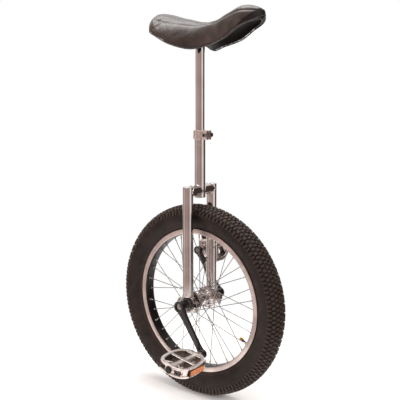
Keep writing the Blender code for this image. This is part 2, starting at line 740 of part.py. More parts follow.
seat_tube()
seat_clamp()
seatpost()
saddle_bracket()
saddle()
tyre()
inner_tube()
rim()
valve()
hub()
for side_name, side_sign in SIDES.items():
    crown_tube(f"{side_name}_crown_tube", side_sign)
    leg(side_name, side_sign)
    bearing_half(f"{side_name}_bearing_holder", side_sign, 1)
    bearing_half(f"{side_name}_bearing_cap", side_sign, -1)
    bearing_bolts(side_name, side_sign)
    bearing_rings(side_name, side_sign)
    spokes(side_name, side_sign)
    crank(side_name, side_sign)
    pedal(side_name, side_sign)
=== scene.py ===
import json
import math

import bmesh
import bpy
import numpy as np
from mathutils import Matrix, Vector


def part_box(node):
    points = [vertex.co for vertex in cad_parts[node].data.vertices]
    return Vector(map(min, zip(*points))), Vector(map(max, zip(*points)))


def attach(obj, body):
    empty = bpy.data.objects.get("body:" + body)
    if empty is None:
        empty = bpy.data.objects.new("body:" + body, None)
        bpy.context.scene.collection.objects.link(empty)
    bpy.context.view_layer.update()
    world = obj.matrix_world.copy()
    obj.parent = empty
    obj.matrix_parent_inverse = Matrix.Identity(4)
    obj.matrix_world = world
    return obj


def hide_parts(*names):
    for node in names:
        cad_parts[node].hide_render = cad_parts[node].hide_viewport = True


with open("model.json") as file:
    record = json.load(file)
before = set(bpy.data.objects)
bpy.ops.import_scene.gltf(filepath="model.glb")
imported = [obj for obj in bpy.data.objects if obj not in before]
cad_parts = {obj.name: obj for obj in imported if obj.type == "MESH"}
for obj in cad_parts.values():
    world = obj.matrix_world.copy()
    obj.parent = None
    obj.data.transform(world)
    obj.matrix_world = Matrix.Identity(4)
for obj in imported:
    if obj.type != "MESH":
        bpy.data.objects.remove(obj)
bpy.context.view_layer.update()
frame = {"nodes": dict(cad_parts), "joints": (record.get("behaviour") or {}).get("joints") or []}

# A unicycle: chromed fork, knobbly tyre, offset cranks, platform pedals and a padded saddle.
# Right is -X, the front is -Y. Shapes are worked out in millimetres and turned into metres
# when they go into a mesh.
mm = 0.001
tau = 2 * math.pi
sides = {"right": -1, "left": 1}
along = {"x": (1.0, 0.0, 0.0), "y": (0.0, 1.0, 0.0), "z": (0.0, 0.0, 1.0)}
joints = {joint["name"]: joint for joint in frame["joints"]}


def middle(node):
    # the middle of a CAD node's box, in millimetres
    low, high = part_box(node)
    return np.array((low + high) / 2) / mm


def reach(node, axis, end):
    # how far a CAD node reaches along an axis, at its low (0) or high (1) end, in millimetres
    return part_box(node)[end]["xyz".index(axis)] / mm


def span(node, axis):
    return reach(node, axis, 0), reach(node, axis, 1)


def radiusOf(node):
    low, high = span(node, "x")
    return (high - low) / 2


axleHeight = joints["wheel_spin"]["pos_m"][2] / mm
axleAt = np.array((0, 0, axleHeight))
bearingX = middle("left_bearing_holder")[0]
legRadius = radiusOf("left_fork_leg")


def unit(vectors):
    return vectors / np.linalg.norm(vectors, axis=-1, keepdims=True)


def surface(points, closeRows=False, closeCols=True, finish=0):
    # a grid of points (rows, columns, 3), or many grids at once, as vertices, quads and finishes;
    # quad (i, j) joins points (i, j), (i, j+1), (i+1, j+1) and (i+1, j), wrapping where it closes
    rows, cols = points.shape[-3:-1]
    grids = points.reshape(-1, rows * cols, 3)
    i = np.arange(rows if closeRows else rows - 1)[:, None]
    j = np.arange(cols if closeCols else cols - 1)[None, :]
    nextI, nextJ = (i + 1) % rows, (j + 1) % cols
    quads = np.stack([i * cols + j, i * cols + nextJ, nextI * cols + nextJ, nextI * cols + j], -1)
    quads = quads.reshape(-1, 4) + np.arange(len(grids))[:, None, None] * rows * cols
    finish = np.asarray(finish)
    marks = finish if finish.ndim == 2 else finish.reshape(-1, 1)
    marks = np.broadcast_to(marks, (i.size, j.size)).reshape(-1)
    return grids.reshape(-1, 3), quads.reshape(-1, 4), np.tile(marks, len(grids))


def meshOf(name, surfaces):
    # the surfaces in one mesh, with seams and poles merged and every shell facing out
    starts = np.cumsum([0] + [len(points) for points, _, _ in surfaces])
    points = np.concatenate([part[0] for part in surfaces]) * mm
    quads = np.concatenate([part[1] + start for part, start in zip(surfaces, starts)])
    mesh = bpy.data.meshes.new(name)
    mesh.from_pydata(points, [], quads)
    mesh.polygons.foreach_set("material_index", np.concatenate([part[2] for part in surfaces]))
    built = bmesh.new()
    built.from_mesh(mesh)
    bmesh.ops.remove_doubles(built, verts=built.verts, dist=2e-6)
    bmesh.ops.recalc_face_normals(built, faces=built.faces)
    built.to_mesh(mesh)
    built.free()
    return mesh


def nodesOf(name):
    # the CAD node that a piece stands for has the same name with underscores; a welt has none
    node = "".join("_" + letter.lower() if letter.isupper() else letter for letter in name)
    return [node] if node in frame["nodes"] else []


def place(name, mesh, body, finishes, sharp=38):
    # the finished piece: smooth but for edges sharper than an angle, riding on its body
    obj = bpy.data.objects.new(name, mesh)
    bpy.context.scene.collection.objects.link(obj)
    for finish in finishes:
        mesh.materials.append(finish)
    mesh.shade_smooth()
    mesh.set_sharp_from_angle(angle=math.radians(sharp))
    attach(obj, body)
    nodes = nodesOf(name)
    if nodes:
        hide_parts(*nodes)
    return obj


def piece(name, body, finishes, surfaces, sharp=38):
    return place(name, meshOf(name, surfaces), body, finishes, sharp)


def rounded(corners, radius, steps=5, closed=False):
    # each corner P becomes (1-t)^2 A + 2t(1-t) P + t^2 B, with A and B up to radius before and after it
    p = np.asarray(corners, float)
    before, after = np.roll(p, 1, 0) - p, np.roll(p, -1, 0) - p
    size = np.broadcast_to(np.reshape(radius, (-1, 1)), (len(p), 1))
    share = [np.minimum(size / np.maximum(np.linalg.norm(d, axis=1, keepdims=True), 1e-9), 0.5)
             for d in (before, after)]
    a, b = (p + before * share[0])[:, None], (p + after * share[1])[:, None]
    t = np.linspace(0, 1, steps)[None, :, None]
    arcs = (1 - t) ** 2 * a + 2 * t * (1 - t) * p[:, None] + t ** 2 * b
    if not closed:
        arcs[0], arcs[-1] = p[0], p[-1]
    return arcs.reshape(-1, 2)


def across(axis):
    # two directions square to an axis, or to each of many axes
    axis = np.asarray(axis, float)
    other = np.where(np.abs(axis[..., :1]) > 0.8, along["y"], along["x"])
    v = unit(np.cross(axis, other))
    return np.cross(v, axis), v


def turned(profile, axis="z", at=(0, 0, 0), count=48, ring=False, hexRows=(), finish=0):
    # (radius, height) points carried round an axis: at + h axis + r (cos a u + sin a v); on
    # hexagonal rows r is multiplied by cos 30 / cos((a mod 60) - 30)
    axis = unit(np.asarray(along.get(axis) if isinstance(axis, str) else axis, float))
    profile = np.asarray(profile, float)
    u, v = (d[..., None, None, :] for d in across(axis))
    a = np.arange(count) * tau / count
    flat = math.cos(tau / 12) / np.cos(a % (tau / 6) - tau / 12)
    hexed = np.isin(np.arange(len(profile)), list(hexRows))[:, None]
    r = (profile[:, :1] * np.where(hexed, flat, 1))[..., None]
    spin = np.cos(a)[:, None] * u + np.sin(a)[:, None] * v
    lift = profile[:, 1, None, None] * axis[..., None, None, :]
    points = np.asarray(at, float)[..., None, None, :] + lift + r * spin
    return surface(points, closeRows=ring, finish=finish)


def ringOf(section, soft, axis, at, count, steps=4, finish=0):
    # a closed section with softened corners, turned into a ring
    return turned(rounded(section, soft, steps, True), axis, at, count, ring=True, finish=finish)


def tube(radius, wall, low, high, at=(0, 0, 0), count=72, lip=0.6):
    # an upright tube: the ring of a rectangle in (radius, height)
    box = [(radius, high), (radius, low), (radius - wall, low), (radius - wall, high)]
    return ringOf(box, lip, "z", at, count)


def pipe(path, radius, count=12, closed=False, finish=0, up=(0.31, 0.17, 0.93)):
    # a round section carried along a path: P(s) + r(s) (cos a u + sin a v), with u and v square to
    # the path; open ends shrink to a point, which closes them
    path = np.asarray(path, float)
    if closed:
        run = np.roll(path, -1, -2) - np.roll(path, 1, -2)
    else:
        run = np.gradient(path, axis=-2)
    u = unit(np.cross(run, up))
    v = unit(np.cross(run, u))
    r = np.broadcast_to(radius, path.shape[:-1]).astype(float)
    if not closed:
        path, u, v = (np.concatenate([x[..., :1, :], x, x[..., -1:, :]], -2) for x in (path, u, v))
        r = np.concatenate([r[..., :1] * 0, r, r[..., :1] * 0], -1)
    a = np.arange(count) * tau / count
    spin = np.cos(a)[:, None] * u[..., None, :] + np.sin(a)[:, None] * v[..., None, :]
    return surface(path[..., None, :] + r[..., None, None] * spin, closeRows=closed, finish=finish)


def bar(inner, outer, low, high, edge, closed=False, finish=0):
    # a rounded rectangular section carried between two curves: inner + w (outer - inner) + d n for
    # the sides, low to high for the height, with corners edge (1 - cos t, 1 - sin t)
    inner, outer = np.asarray(inner, float), np.asarray(outer, float)
    t = np.linspace(0, math.pi / 2, 4)
    slow, fast = edge * (1 - np.cos(t)), edge * (1 - np.sin(t))
    offset = np.concatenate([fast, slow, -fast, -slow])
    height = np.concatenate([low + slow, high - fast, high - slow, low + fast])
    side = np.repeat([0.0, 1.0], 8)
    n = unit(outer - inner)[:, None]
    flat = inner[:, None] + side[:, None] * (outer - inner)[:, None] + offset[:, None] * n
    points = np.concatenate([flat, np.broadcast_to(height[:, None], flat.shape[:2] + (1,))], -1)
    if not closed:
        ends = [np.broadcast_to(points[i].mean(0), points[:1].shape) for i in (0, -1)]
        points = np.concatenate([ends[0], points, ends[1]])
    return surface(points, closeRows=closed, finish=finish)


def stood(part, u, v, w, at=(0, 0, 0)):
    # a surface made in its own plane, turned so that its axes lie along u, v and w, and moved
    points, quads, marks = part
    return points @ np.array([u, v, w], float) + np.asarray(at, float), quads, marks


def spline(knots, count):
    # a smooth curve through the knots: half of 2P1 + (P2-P0)t + (2P0-5P1+4P2-P3)t^2 +
    # (3P1-P0-3P2+P3)t^3 between each two, sampled at equal steps of the knot number
    p = np.asarray(knots, float)
    p = np.concatenate([2 * p[:1] - p[1:2], p, 2 * p[-1:] - p[-2:-1]])
    s = np.linspace(0, len(knots) - 1, count)
    i = np.minimum(s.astype(int), len(knots) - 2)
    t = (s - i)[:, None]
    a, b, c, d = p[i], p[i + 1], p[i + 2], p[i + 3]
    return (2 * b + (c - a) * t + (2 * a - 5 * b + 4 * c - d) * t ** 2
            + (3 * b - a - 3 * c + d) * t ** 3) / 2


def linear(hexColour):
    # sRGB to linear: c / 12.92 up to 0.04045, else ((c + 0.055) / 1.055) ^ 2.4
    c = np.array([int(hexColour[i:i + 2], 16) for i in (1, 3, 5)]) / 255
    return (*np.where(c <= 0.04045, c / 12.92, ((c + 0.055) / 1.055) ** 2.4), 1.0)


def addNode(tree, kind, values=None, links=None, **settings):
    node = tree.nodes.new(kind)
    for name, setting in settings.items():
        setattr(node, name, setting)
    for name, value in (values or {}).items():
        node.inputs[name].default_value = value
    for name, source in (links or {}).items():
        tree.links.new(source, node.inputs[name])
    return node


def makeFinish(name, look):
    # a surface finish: two tones in patches, a roughness that varies in smudges, a grain that
    # stands up by a real height, and a lighter tone along convex edges, partly wear and partly a
    # painted highlight; every size is in millimetres
    material = bpy.data.materials.new(name)
    material.use_nodes = True
    tree = material.node_tree
    shader = tree.nodes["Principled BSDF"]
    spot = addNode(tree, "ShaderNodeTexCoord").outputs["Object"]
    patches = addNode(tree, "ShaderNodeTexNoise", {"Scale": 1 / (look["patch"] * mm), "Detail": 3},
                      {"Vector": spot}).outputs["Fac"]
    spread = addNode(tree, "ShaderNodeMapRange", {"From Min": 0.35, "From Max": 0.65},
                     {"Value": patches}).outputs["Result"]
    tone = addNode(tree, "ShaderNodeMix", {6: linear(look["dark"]), 7: linear(look["light"])},
                   {0: spread}, data_type="RGBA").outputs[2]
    # convex edges are painted lighter: partly wear, partly a highlight painted where light catches them
    if "wear" in look:
        edge = addNode(tree, "ShaderNodeNewGeometry").outputs["Pointiness"]
        edgeWearAndHighlightMask = addNode(tree, "ShaderNodeMapRange",
                       {"From Min": look["wearFrom"], "From Max": look["wearFrom"] + 0.06},
                       {"Value": edge}).outputs["Result"]
        tone = addNode(tree, "ShaderNodeMix", {7: linear(look["wear"])}, {0: edgeWearAndHighlightMask, 6: tone},
                       data_type="RGBA").outputs[2]
    tree.links.new(tone, shader.inputs["Base Color"])
    smudges = addNode(tree, "ShaderNodeTexNoise", {"Scale": 1 / (look["smudge"] * mm), "Detail": 4},
                      {"Vector": spot}).outputs["Fac"]
    low, high = look["rough"]
    rough = addNode(tree, "ShaderNodeMapRange",
                    {"From Min": 0.3, "From Max": 0.7, "To Min": low, "To Max": high},
                    {"Value": smudges}).outputs["Result"]
    tree.links.new(rough, shader.inputs["Roughness"])
    if look.get("turnedPitch"):
        # rings round the axle: sin(tau r / pitch), r the distance from the axle's line
        flat = addNode(tree, "ShaderNodeMapping",
                       {"Location": (0, 0, -axleHeight * mm), "Scale": (0, 1, 1)},
                       {"Vector": spot}).outputs["Vector"]
        r = addNode(tree, "ShaderNodeVectorMath", links={0: flat}, operation="LENGTH").outputs["Value"]
        turns = addNode(tree, "ShaderNodeMath", {1: tau / (look["turnedPitch"] * mm)}, {0: r},
                        operation="MULTIPLY").outputs[0]
        height = addNode(tree, "ShaderNodeMath", links={0: turns}, operation="SINE").outputs[0]
    elif look.get("cells"):
        height = addNode(tree, "ShaderNodeTexVoronoi", {"Scale": 1 / (look["grain"] * mm)},
                         {"Vector": spot}).outputs["Distance"]
    else:
        height = addNode(tree, "ShaderNodeTexNoise", {"Scale": 1 / (look["grain"] * mm), "Detail": 2},
                         {"Vector": spot}).outputs["Fac"]
    bump = addNode(tree, "ShaderNodeBump", {"Strength": look.get("strength", 0.5),
                                            "Distance": look["relief"] * mm}, {"Height": height})
    tree.links.new(bump.outputs["Normal"], shader.inputs["Normal"])
    # a socket that a look leaves out keeps its usual value
    for socket, key in (("Metallic", "metal"), ("Coat Weight", "coat"),
                        ("Coat Roughness", "coatRough"), ("IOR", "ior")):
        if key in look:
            shader.inputs[socket].default_value = look[key]
    return material


looks = {
    # bright nickel-chrome plate on steel tube: a mirror with a faint ripple and wiped smudges
    "chromePlate": {"light": "#e2dbd9", "dark": "#cfc6c3", "patch": 60, "metal": 1.0,
                    "rough": (0.05, 0.13), "smudge": 18, "grain": 5, "relief": 0.02, "strength": 0.3},
    # bright zinc plate on steel fasteners: greyer than chrome and slightly cloudy
    "zincPlate": {"light": "#c4c1be", "dark": "#9b9896", "patch": 4, "metal": 1.0,
                  "rough": (0.2, 0.38), "smudge": 2, "grain": 0.5, "relief": 0.02},
    # blackened steel of the clamp bolt, oily and dark
    "blackSteel": {"light": "#3b3735", "dark": "#24211f", "patch": 3, "metal": 0.9,
                   "rough": (0.3, 0.45), "smudge": 2, "grain": 0.5, "relief": 0.02},
    # tumbled and polished cast aluminium: soft shine, with the casting's skin just showing
    "castAluminium": {"light": "#f7ede8", "dark": "#e3d6cf", "patch": 9, "metal": 1.0,
                      "rough": (0.22, 0.42), "smudge": 5, "grain": 1.1, "relief": 0.04},
    # dull unpolished casting inside the pedal's windows, painted dark grey-brown as the shade in those
    # recesses
    "dullCastPaintedShade": {"light": "#6a5e58", "dark": "#463d39", "patch": 7, "metal": 0.85,
                 "rough": (0.5, 0.66), "smudge": 4, "grain": 1.0, "relief": 0.08},
    # turned and polished aluminium hub: fine rings round the axle
    "turnedAluminium": {"light": "#e6dfdb", "dark": "#c6bdb9", "patch": 14, "metal": 1.0,
                        "rough": (0.12, 0.26), "smudge": 8, "grain": 1, "relief": 0.012,
                        "turnedPitch": 1.0, "strength": 0.35},
    # drawn stainless wire, bright along its length
    "stainlessWire": {"light": "#b3afad", "dark": "#8d8987", "patch": 12, "metal": 1.0,
                      "rough": (0.22, 0.36), "smudge": 4, "grain": 0.6, "relief": 0.01},
    # nickel-plated brass nipples
    "nickelPlate": {"light": "#e4ddd2", "dark": "#c9c0b2", "patch": 3, "metal": 1.0,
                    "rough": (0.15, 0.28), "smudge": 2, "grain": 0.6, "relief": 0.01},
    # black anodised aluminium: satin, slightly warm
    "blackAnodised": {"light": "#211d1d", "dark": "#171415", "patch": 25, "metal": 0.55,
                      "rough": (0.28, 0.42), "smudge": 12, "grain": 0.6, "relief": 0.015},
    # bare aluminium that a lathe has faced: rings drawn coarser than real so that they show
    "machinedAluminium": {"light": "#e6d9d4", "dark": "#cdbeb9", "patch": 40, "metal": 0.95,
                          "rough": (0.26, 0.4), "smudge": 14, "grain": 1, "relief": 0.02,
                          "turnedPitch": 1.2, "strength": 0.4},
    # sulphur-cured tyre rubber: brown-black, dusty, with a moulded skin; the lugs' convex edges are
    # lighter, partly dust and partly a painted highlight
    "tyreRubber": {"light": "#2a1f1b", "dark": "#1a1310", "patch": 35, "rough": (0.52, 0.7),
                   "smudge": 20, "grain": 1.6, "relief": 0.08, "ior": 1.42,
                   "wear": "#443730", "wearFrom": 0.54},
    # gloss black enamel on a forged steel crank: thick, with lighter convex edges that are partly thin
    # spots and partly a painted highlight
    "blackEnamel": {"light": "#121011", "dark": "#0a0909", "patch": 20, "rough": (0.22, 0.36),
                    "smudge": 9, "grain": 3, "relief": 0.03, "coat": 0.5, "coatRough": 0.12,
                    "wear": "#3c3837", "wearFrom": 0.56, "ior": 1.5},
    # embossed PVC cover: small leathery cells, a semi-gloss with a brown cast
    "grainedVinyl": {"light": "#40342f", "dark": "#2a211e", "patch": 30, "rough": (0.28, 0.42),
                     "smudge": 14, "grain": 1.5, "relief": 0.06, "strength": 0.35, "cells": True,
                     "coat": 0.2, "coatRough": 0.3, "ior": 1.53},
    # shiny vinyl piping, a little paler than the cover
    "palePiping": {"light": "#4f4643", "dark": "#332c2a", "patch": 8, "rough": (0.25, 0.4),
                   "smudge": 5, "grain": 0.8, "relief": 0.03, "ior": 1.53},
    # moulded polypropylene: matt with a fine spark-eroded texture
    "mouldedPlastic": {"light": "#141110", "dark": "#0c0a0a", "patch": 22, "rough": (0.42, 0.56),
                       "smudge": 8, "grain": 0.7, "relief": 0.04, "ior": 1.49},
    # nitrile lip of the bearing seals
    "sealRubber": {"light": "#2a2625", "dark": "#191716", "patch": 6, "rough": (0.5, 0.65),
                   "smudge": 3, "grain": 0.5, "relief": 0.02},
    # butyl rubber of the tube, strip and valve stem
    "butylRubber": {"light": "#262221", "dark": "#1a1716", "patch": 8, "rough": (0.55, 0.7),
                    "smudge": 4, "grain": 0.5, "relief": 0.03},
    # lacquered brass, warm and a little dull
    "brass": {"light": "#cfa350", "dark": "#a97f36", "patch": 3, "metal": 1.0, "rough": (0.2, 0.34),
              "smudge": 2, "grain": 0.4, "relief": 0.02},
    # amber acrylic over moulded cube corners: bright cells under a clear gloss face
    "amberLens": {"light": "#f08a1a", "dark": "#b85405", "patch": 2.2, "rough": (0.2, 0.3),
                  "smudge": 5, "grain": 2.2, "relief": 0.35, "strength": 0.6, "cells": True,
                  "coat": 0.3, "coatRough": 0.06, "ior": 1.45},
    # painted plaster floor of a studio, matt and nearly white
    "studioFloor": {"light": "#fbfaf9", "dark": "#f6f5f4", "patch": 900, "rough": (0.7, 0.85),
                    "smudge": 300, "grain": 6, "relief": 0.05, "strength": 0.1},
}
finishes = {name: makeFinish(name, look) for name, look in looks.items()}
print("finishes made:", len(finishes))


def using(*names):
    return [finishes[name] for name in names]


def chromed(name, body, surfaces):
    return piece(name, body, using("chromePlate"), surfaces)


def zinced(name, body, surfaces):
    return piece(name, body, using("zincPlate"), surfaces)


forkValues = {
    "crownHeight": middle("left_crown_tube")[2],
    "capDome": 1.9,  # how high the leg's cap rises above the tube
    "tubeWall": 1.6,
    "beadRadius": 1.5,  # weld beads
    "beadRipples": 26,
    "bore": 12.9,  # radius inside the seat tube
    "slotFoot": 693.0,  # the slot in the seat tube runs up from here
    "slit": 1.5,  # half of the slot's width
}


def crownStub(side, seatRadius, count=48, rows=8):
    # a tube along X with its ends cut to fit round tubes: at angle a the stub runs from
    # sqrt(R^2 - y^2) to bearingX - sqrt(L^2 - y^2), with y = r cos a
    a = np.arange(count) * tau / count
    r = legRadius - 0.05
    y, z = r * np.cos(a), r * np.sin(a)
    start = np.sqrt(seatRadius ** 2 - y ** 2) - 0.2
    end = bearingX - np.sqrt(np.maximum(legRadius ** 2 - y ** 2, 0)) + 0.2
    t = np.linspace(0, 1, rows)[:, None]
    x = side * (start + (end - start) * t)
    height = forkValues["crownHeight"]
    wall = forkValues["tubeWall"]
    points = np.stack([x, np.broadcast_to(y, x.shape), np.broadcast_to(z + height, x.shape)], -1)
    thin = (r - wall) / r
    lining = points * (1, thin, thin) + (0, 0, height * (1 - thin))
    return surface(np.concatenate([points, lining[::-1]]), closeRows=True), start, end, y, z + height


def weldBead(x, y, z, offset):
    # a rippled bead along a seam: its radius is b (1 + 0.16 sin(n s))
    s = np.linspace(0, tau, len(x), endpoint=False)
    radius = forkValues["beadRadius"] * (1 + 0.16 * np.sin(forkValues["beadRipples"] * s))
    return pipe(np.stack([x + offset, y, z], -1), radius, 8, closed=True)


def makeFork():
    seatLow, seatTop = span("seat_tube", "z")
    seatRadius = radiusOf("seat_tube")
    v = forkValues
    slotFoot, bore = v["slotFoot"], v["bore"]
    body = tube(seatRadius, seatRadius - bore, seatLow, slotFoot)
    # above the slot's foot the tube is a bar bent round from one side of the slot to the other
    half = v["slit"] / seatRadius
    a = np.linspace(half, tau - half, 72) - math.pi / 2
    circle = np.stack([np.cos(a), np.sin(a)], -1)
    split = bar(circle * bore, circle * seatRadius, slotFoot - 0.4, seatTop, 0.5)
    chromed("seatTube", "frame", [body, split])
    for name, side in sides.items():
        stub, start, end, y, z = crownStub(side, seatRadius)
        beads = [weldBead(side * start, y, z, side * 0.6), weldBead(side * end, y, z, -side * 0.6)]
        chromed(f"{name}CrownTube", "frame", [stub, *beads])
        low, top = span(f"{name}_fork_leg", "z")
        at = (side * bearingX, 0, 0)
        leg = tube(legRadius, v["tubeWall"], low, top, at, 64, 0.5)
        chromed(f"{name}ForkLeg", "frame", [leg])
        dome = top + v["capDome"]
        cap = [(0, dome), (legRadius - 3, dome - 0.2), (legRadius - 0.3, dome - 1.0),
               (legRadius, top + 0.3), (legRadius - 2.4, top + 0.3), (legRadius - 2.4, top - 5),
               (0, top - 5)]
        chromed(f"{name}LegCap", "frame", [turned(rounded(cap, 0.5), at=at, count=64)])


clampValues = {
    "bore": 15.3,
    "collarWall": 3.2,
    "earHalfWidth": 9.6,
    "earFront": -30.0,
    "slit": 1.5,  # half of the gap between the ears
    "edge": 1.2,  # how far the collar's corners are softened
}


def makeClamp():
    v = clampValues
    low, high = span("seat_clamp", "z")
    inner, front = v["bore"], v["earFront"]
    outer = inner + v["collarWall"]
    # both edges run from the front of one ear, round the back, to the front of the other
    earFoot = -math.sqrt(outer ** 2 - v["earHalfWidth"] ** 2)
    turnIn = math.asin(v["slit"] / inner)
    turnOut = math.asin(v["earHalfWidth"] / outer)
    straight = np.linspace(0, 1, 8)[:, None]
    aIn = np.linspace(turnIn, tau - turnIn, 60) - math.pi / 2
    aOut = np.linspace(turnOut, tau - turnOut, 60) - math.pi / 2
    right = np.array([(v["slit"], front), (v["slit"], -inner + 0.1)])
    farRight = np.array([(v["earHalfWidth"], front), (v["earHalfWidth"], earFoot)])
    lineIn = right[0] + (right[1] - right[0]) * straight
    lineOut = farRight[0] + (farRight[1] - farRight[0]) * straight
    mirror = (-1, 1)
    innerEdge = np.concatenate([lineIn, inner * np.stack([np.cos(aIn), np.sin(aIn)], -1),
                                lineIn[::-1] * mirror])
    outerEdge = np.concatenate([lineOut, outer * np.stack([np.cos(aOut), np.sin(aOut)], -1),
                                lineOut[::-1] * mirror])
    collar = bar(innerEdge, outerEdge, low, high, v["edge"])
    piece("seatClamp", "frame", using("castAluminium"), [collar])
    boltAt = middle("seat_clamp_nut") * (0, 1, 1)
    # a socket head with a hexagonal recess, dark inside
    head = [(0, 13.5), (2.6, 13.5), (2.6, 18.0), (3.2, 18.5), (5.6, 18.5), (6.4, 17.6), (6.4, 10.8),
            (3.0, 10.8), (3.0, -17.0), (0, -17.0)]
    piece("seatClampBolt", "frame", using("blackSteel"),
          [turned(head, "x", boltAt, 48, hexRows=range(1, 3))])
    nut = [(3.9, -10.9), (6.1, -10.9), (6.4, -11.4), (6.4, -15.3), (6.1, -15.8), (3.9, -15.8)]
    zinced("seatClampNut", "frame", [turned(nut, "x", boltAt, 48, ring=True, hexRows=range(1, 5))])


housingValues = {
    "bore": 21.45,
    "radius": 24.8,
    "earEnd": 34.5,
    "earHeight": 7.0,
    "halfWidth": 6.5,
    "joint": 0.6,  # each half stops this far from the middle plane
    "boltY": 29.0,
}


def housingHalf(side, up):
    # half a ring between two edges in the YZ plane: the inner edge is an arc, and the outer edge
    # goes out along each ear, round its corner and up onto a larger arc
    v = housingValues
    start = math.asin(v["joint"] / v["bore"])
    a = np.linspace(start, math.pi - start, 56)
    arc = v["bore"] * np.stack([np.cos(a), np.sin(a)], -1)
    earTop = math.asin(v["earHeight"] / v["radius"])
    b = np.linspace(earTop, math.pi - earTop, 40)
    crown = v["radius"] * np.stack([np.cos(b), np.sin(b)], -1)
    corners = [(v["earEnd"], v["joint"]), (v["earEnd"], v["earHeight"]), tuple(crown[0])]
    ear = rounded(corners, 2.5, 8)[:-8]
    mirror = (-1, 1)
    outer = np.concatenate([ear, crown, ear[::-1] * mirror])
    share, arcShare = np.linspace(0, 1, len(b)), np.linspace(0, 1, len(a))
    arch = np.stack([np.interp(share, arcShare, arc[:, k]) for k in (0, 1)], -1)
    inner = np.concatenate([np.broadcast_to(arc[0], ear.shape), arch,
                            np.broadcast_to(arc[-1], ear.shape)])
    half = bar(inner, outer, -v["halfWidth"], v["halfWidth"], 0.9)
    # the plane's first axis is Y, its second is up or down, and its height lies along X
    return stood(half, (0, 1, 0), (0, 0, up), (1, 0, 0), (side * bearingX, 0, axleHeight))


def makeHousings():
    v = housingValues
    for name, side in sides.items():
        at = (side * bearingX, 0, 0)
        neckLow, neckHigh = axleHeight + v["bore"] + 1.2, reach(f"{name}_fork_leg", "z", 0)
        # the neck narrows from the housing's width to the tube like a bell
        t = np.linspace(0, 1, 9)
        flare = legRadius + 0.1 + 1.5 * (1 - t) ** 3
        neck = np.stack([flare[::-1], (neckLow + (neckHigh - neckLow) * t)[::-1]], -1)
        neck = np.concatenate([[(0, neckHigh)], neck, [(0, neckLow)]])
        turn = np.linspace(0, math.pi, 7)
        beadRow = np.stack([legRadius + np.sin(turn), neckHigh + 1.2 * np.cos(turn)], -1)
        bead = turned(beadRow, at=at, count=64)
        chromed(f"{name}BearingHolder", "frame",
                [housingHalf(side, 1), turned(neck, at=at, count=64), bead])
        chromed(f"{name}BearingCap", "frame", [housingHalf(side, -1)])
        for end, y in (("front", -v["boltY"]), ("rear", v["boltY"])):
            at = (side * bearingX, y, axleHeight)
            # hexagonal head over a washer, and an acorn nut with a domed end below
            top = [(0, 11.5), (3.9, 11.5), (4.4, 11.0), (4.4, 8.2), (5.2, 8.2),
                   (5.2, 7.3), (2.4, 7.3), (2.4, 0), (0, 0)]
            under = [(0, 0), (2.4, 0), (2.4, -7.3), (5.2, -7.3), (5.2, -8.2), (4.6, -8.2),
                     (4.6, -14.8), (4.0, -15.4), (3.9, -18.0), (2.9, -20.6), (1.2, -21.9), (0, -22.0)]
            zinced(f"{name}{end.title()}BearingBolt", "frame",
                   [turned(top, "z", at, 36, hexRows=range(1, 4)),
                    turned(under, "z", at, 36, hexRows=range(5, 7))])
        at = (side * bearingX, 0, axleHeight)
        outerRing = [(20.9, 5.9), (20.9, -5.9), (17.8, -5.9), (17.8, 5.9)]
        seal = [(17.9, 5.3), (17.9, -5.3), (14.9, -4.9), (14.9, 4.9)]
        piece(f"{name}BearingOuterRing", "frame", using("zincPlate", "sealRubber"),
              [ringOf(outerRing, 0.5, "x", at, 64), ringOf(seal, 0.4, "x", at, 64, finish=1)])
        innerRing = [(14.7, 5.9), (14.7, -5.9), (11.0, -5.9), (11.0, 5.9)]
        zinced(f"{name}BearingInnerRing", "wheel", [ringOf(innerRing, 0.5, "x", at, 64)])


makeFork()
makeClamp()
makeHousings()
print("fork, clamp and bearings made")


tyreValues = {
    "radius": axleHeight,  # over the tops of the lugs
    "pitches": 132,  # lugs in one row
    "around": 300,  # steps round the casing
    "wall": 3.0,
    "bead": 189.8,  # radius of the casing's inner edge
    "lateBy": 0.09,  # every other lug: how late, in pitches, and how much longer it is
    "short": 0.86,
    "longer": 0.24,
    # the casing's half section as (radius, distance from the middle plane), bead to crown
    "casing": ((189.8, 9.8), (189.8, 14.0), (200.5, 14.7), (208.5, 19.2), (220, 27.4), (233, 30.8),
               (245, 29.6), (253.5, 24.6), (259.0, 16.0), (261.3, 7.5), (261.8, 0.0)),
    # rows of lugs: how far out along the casing, length across, length round, shift in pitches, height
    "rows": ((35.8, 10.5, 6.4, 0.0, 3.8), (24.9, 8.2, 7.6, 0.5, 4.2), (14.7, 8.6, 6.4, 0.0, 4.2),
             (4.7, 8.4, 7.4, 0.5, 4.2)),
}


def tyreSection(count):
    # the half section as a smooth curve, then its mirror image: one line from bead to bead
    half = spline(tyreValues["casing"], count)
    return np.concatenate([half, half[-2::-1] * (1, -1)])


def onCasing(out, height):
    # the point a distance out along the casing from the crown, lifted along the casing's normal
    line = tyreSection(160)[159:] * (1, -1)
    run = np.concatenate([[0], np.cumsum(np.linalg.norm(np.diff(line, axis=0), axis=1))])
    slope = unit(np.gradient(line, axis=0))
    r, x = (np.interp(np.abs(out), run, line[:, k]) for k in (0, 1))
    nr, nx = np.interp(np.abs(out), run, slope[:, 1]), np.interp(np.abs(out), run, -slope[:, 0])
    return r + height * nr, np.sign(out) * (x + height * nx)


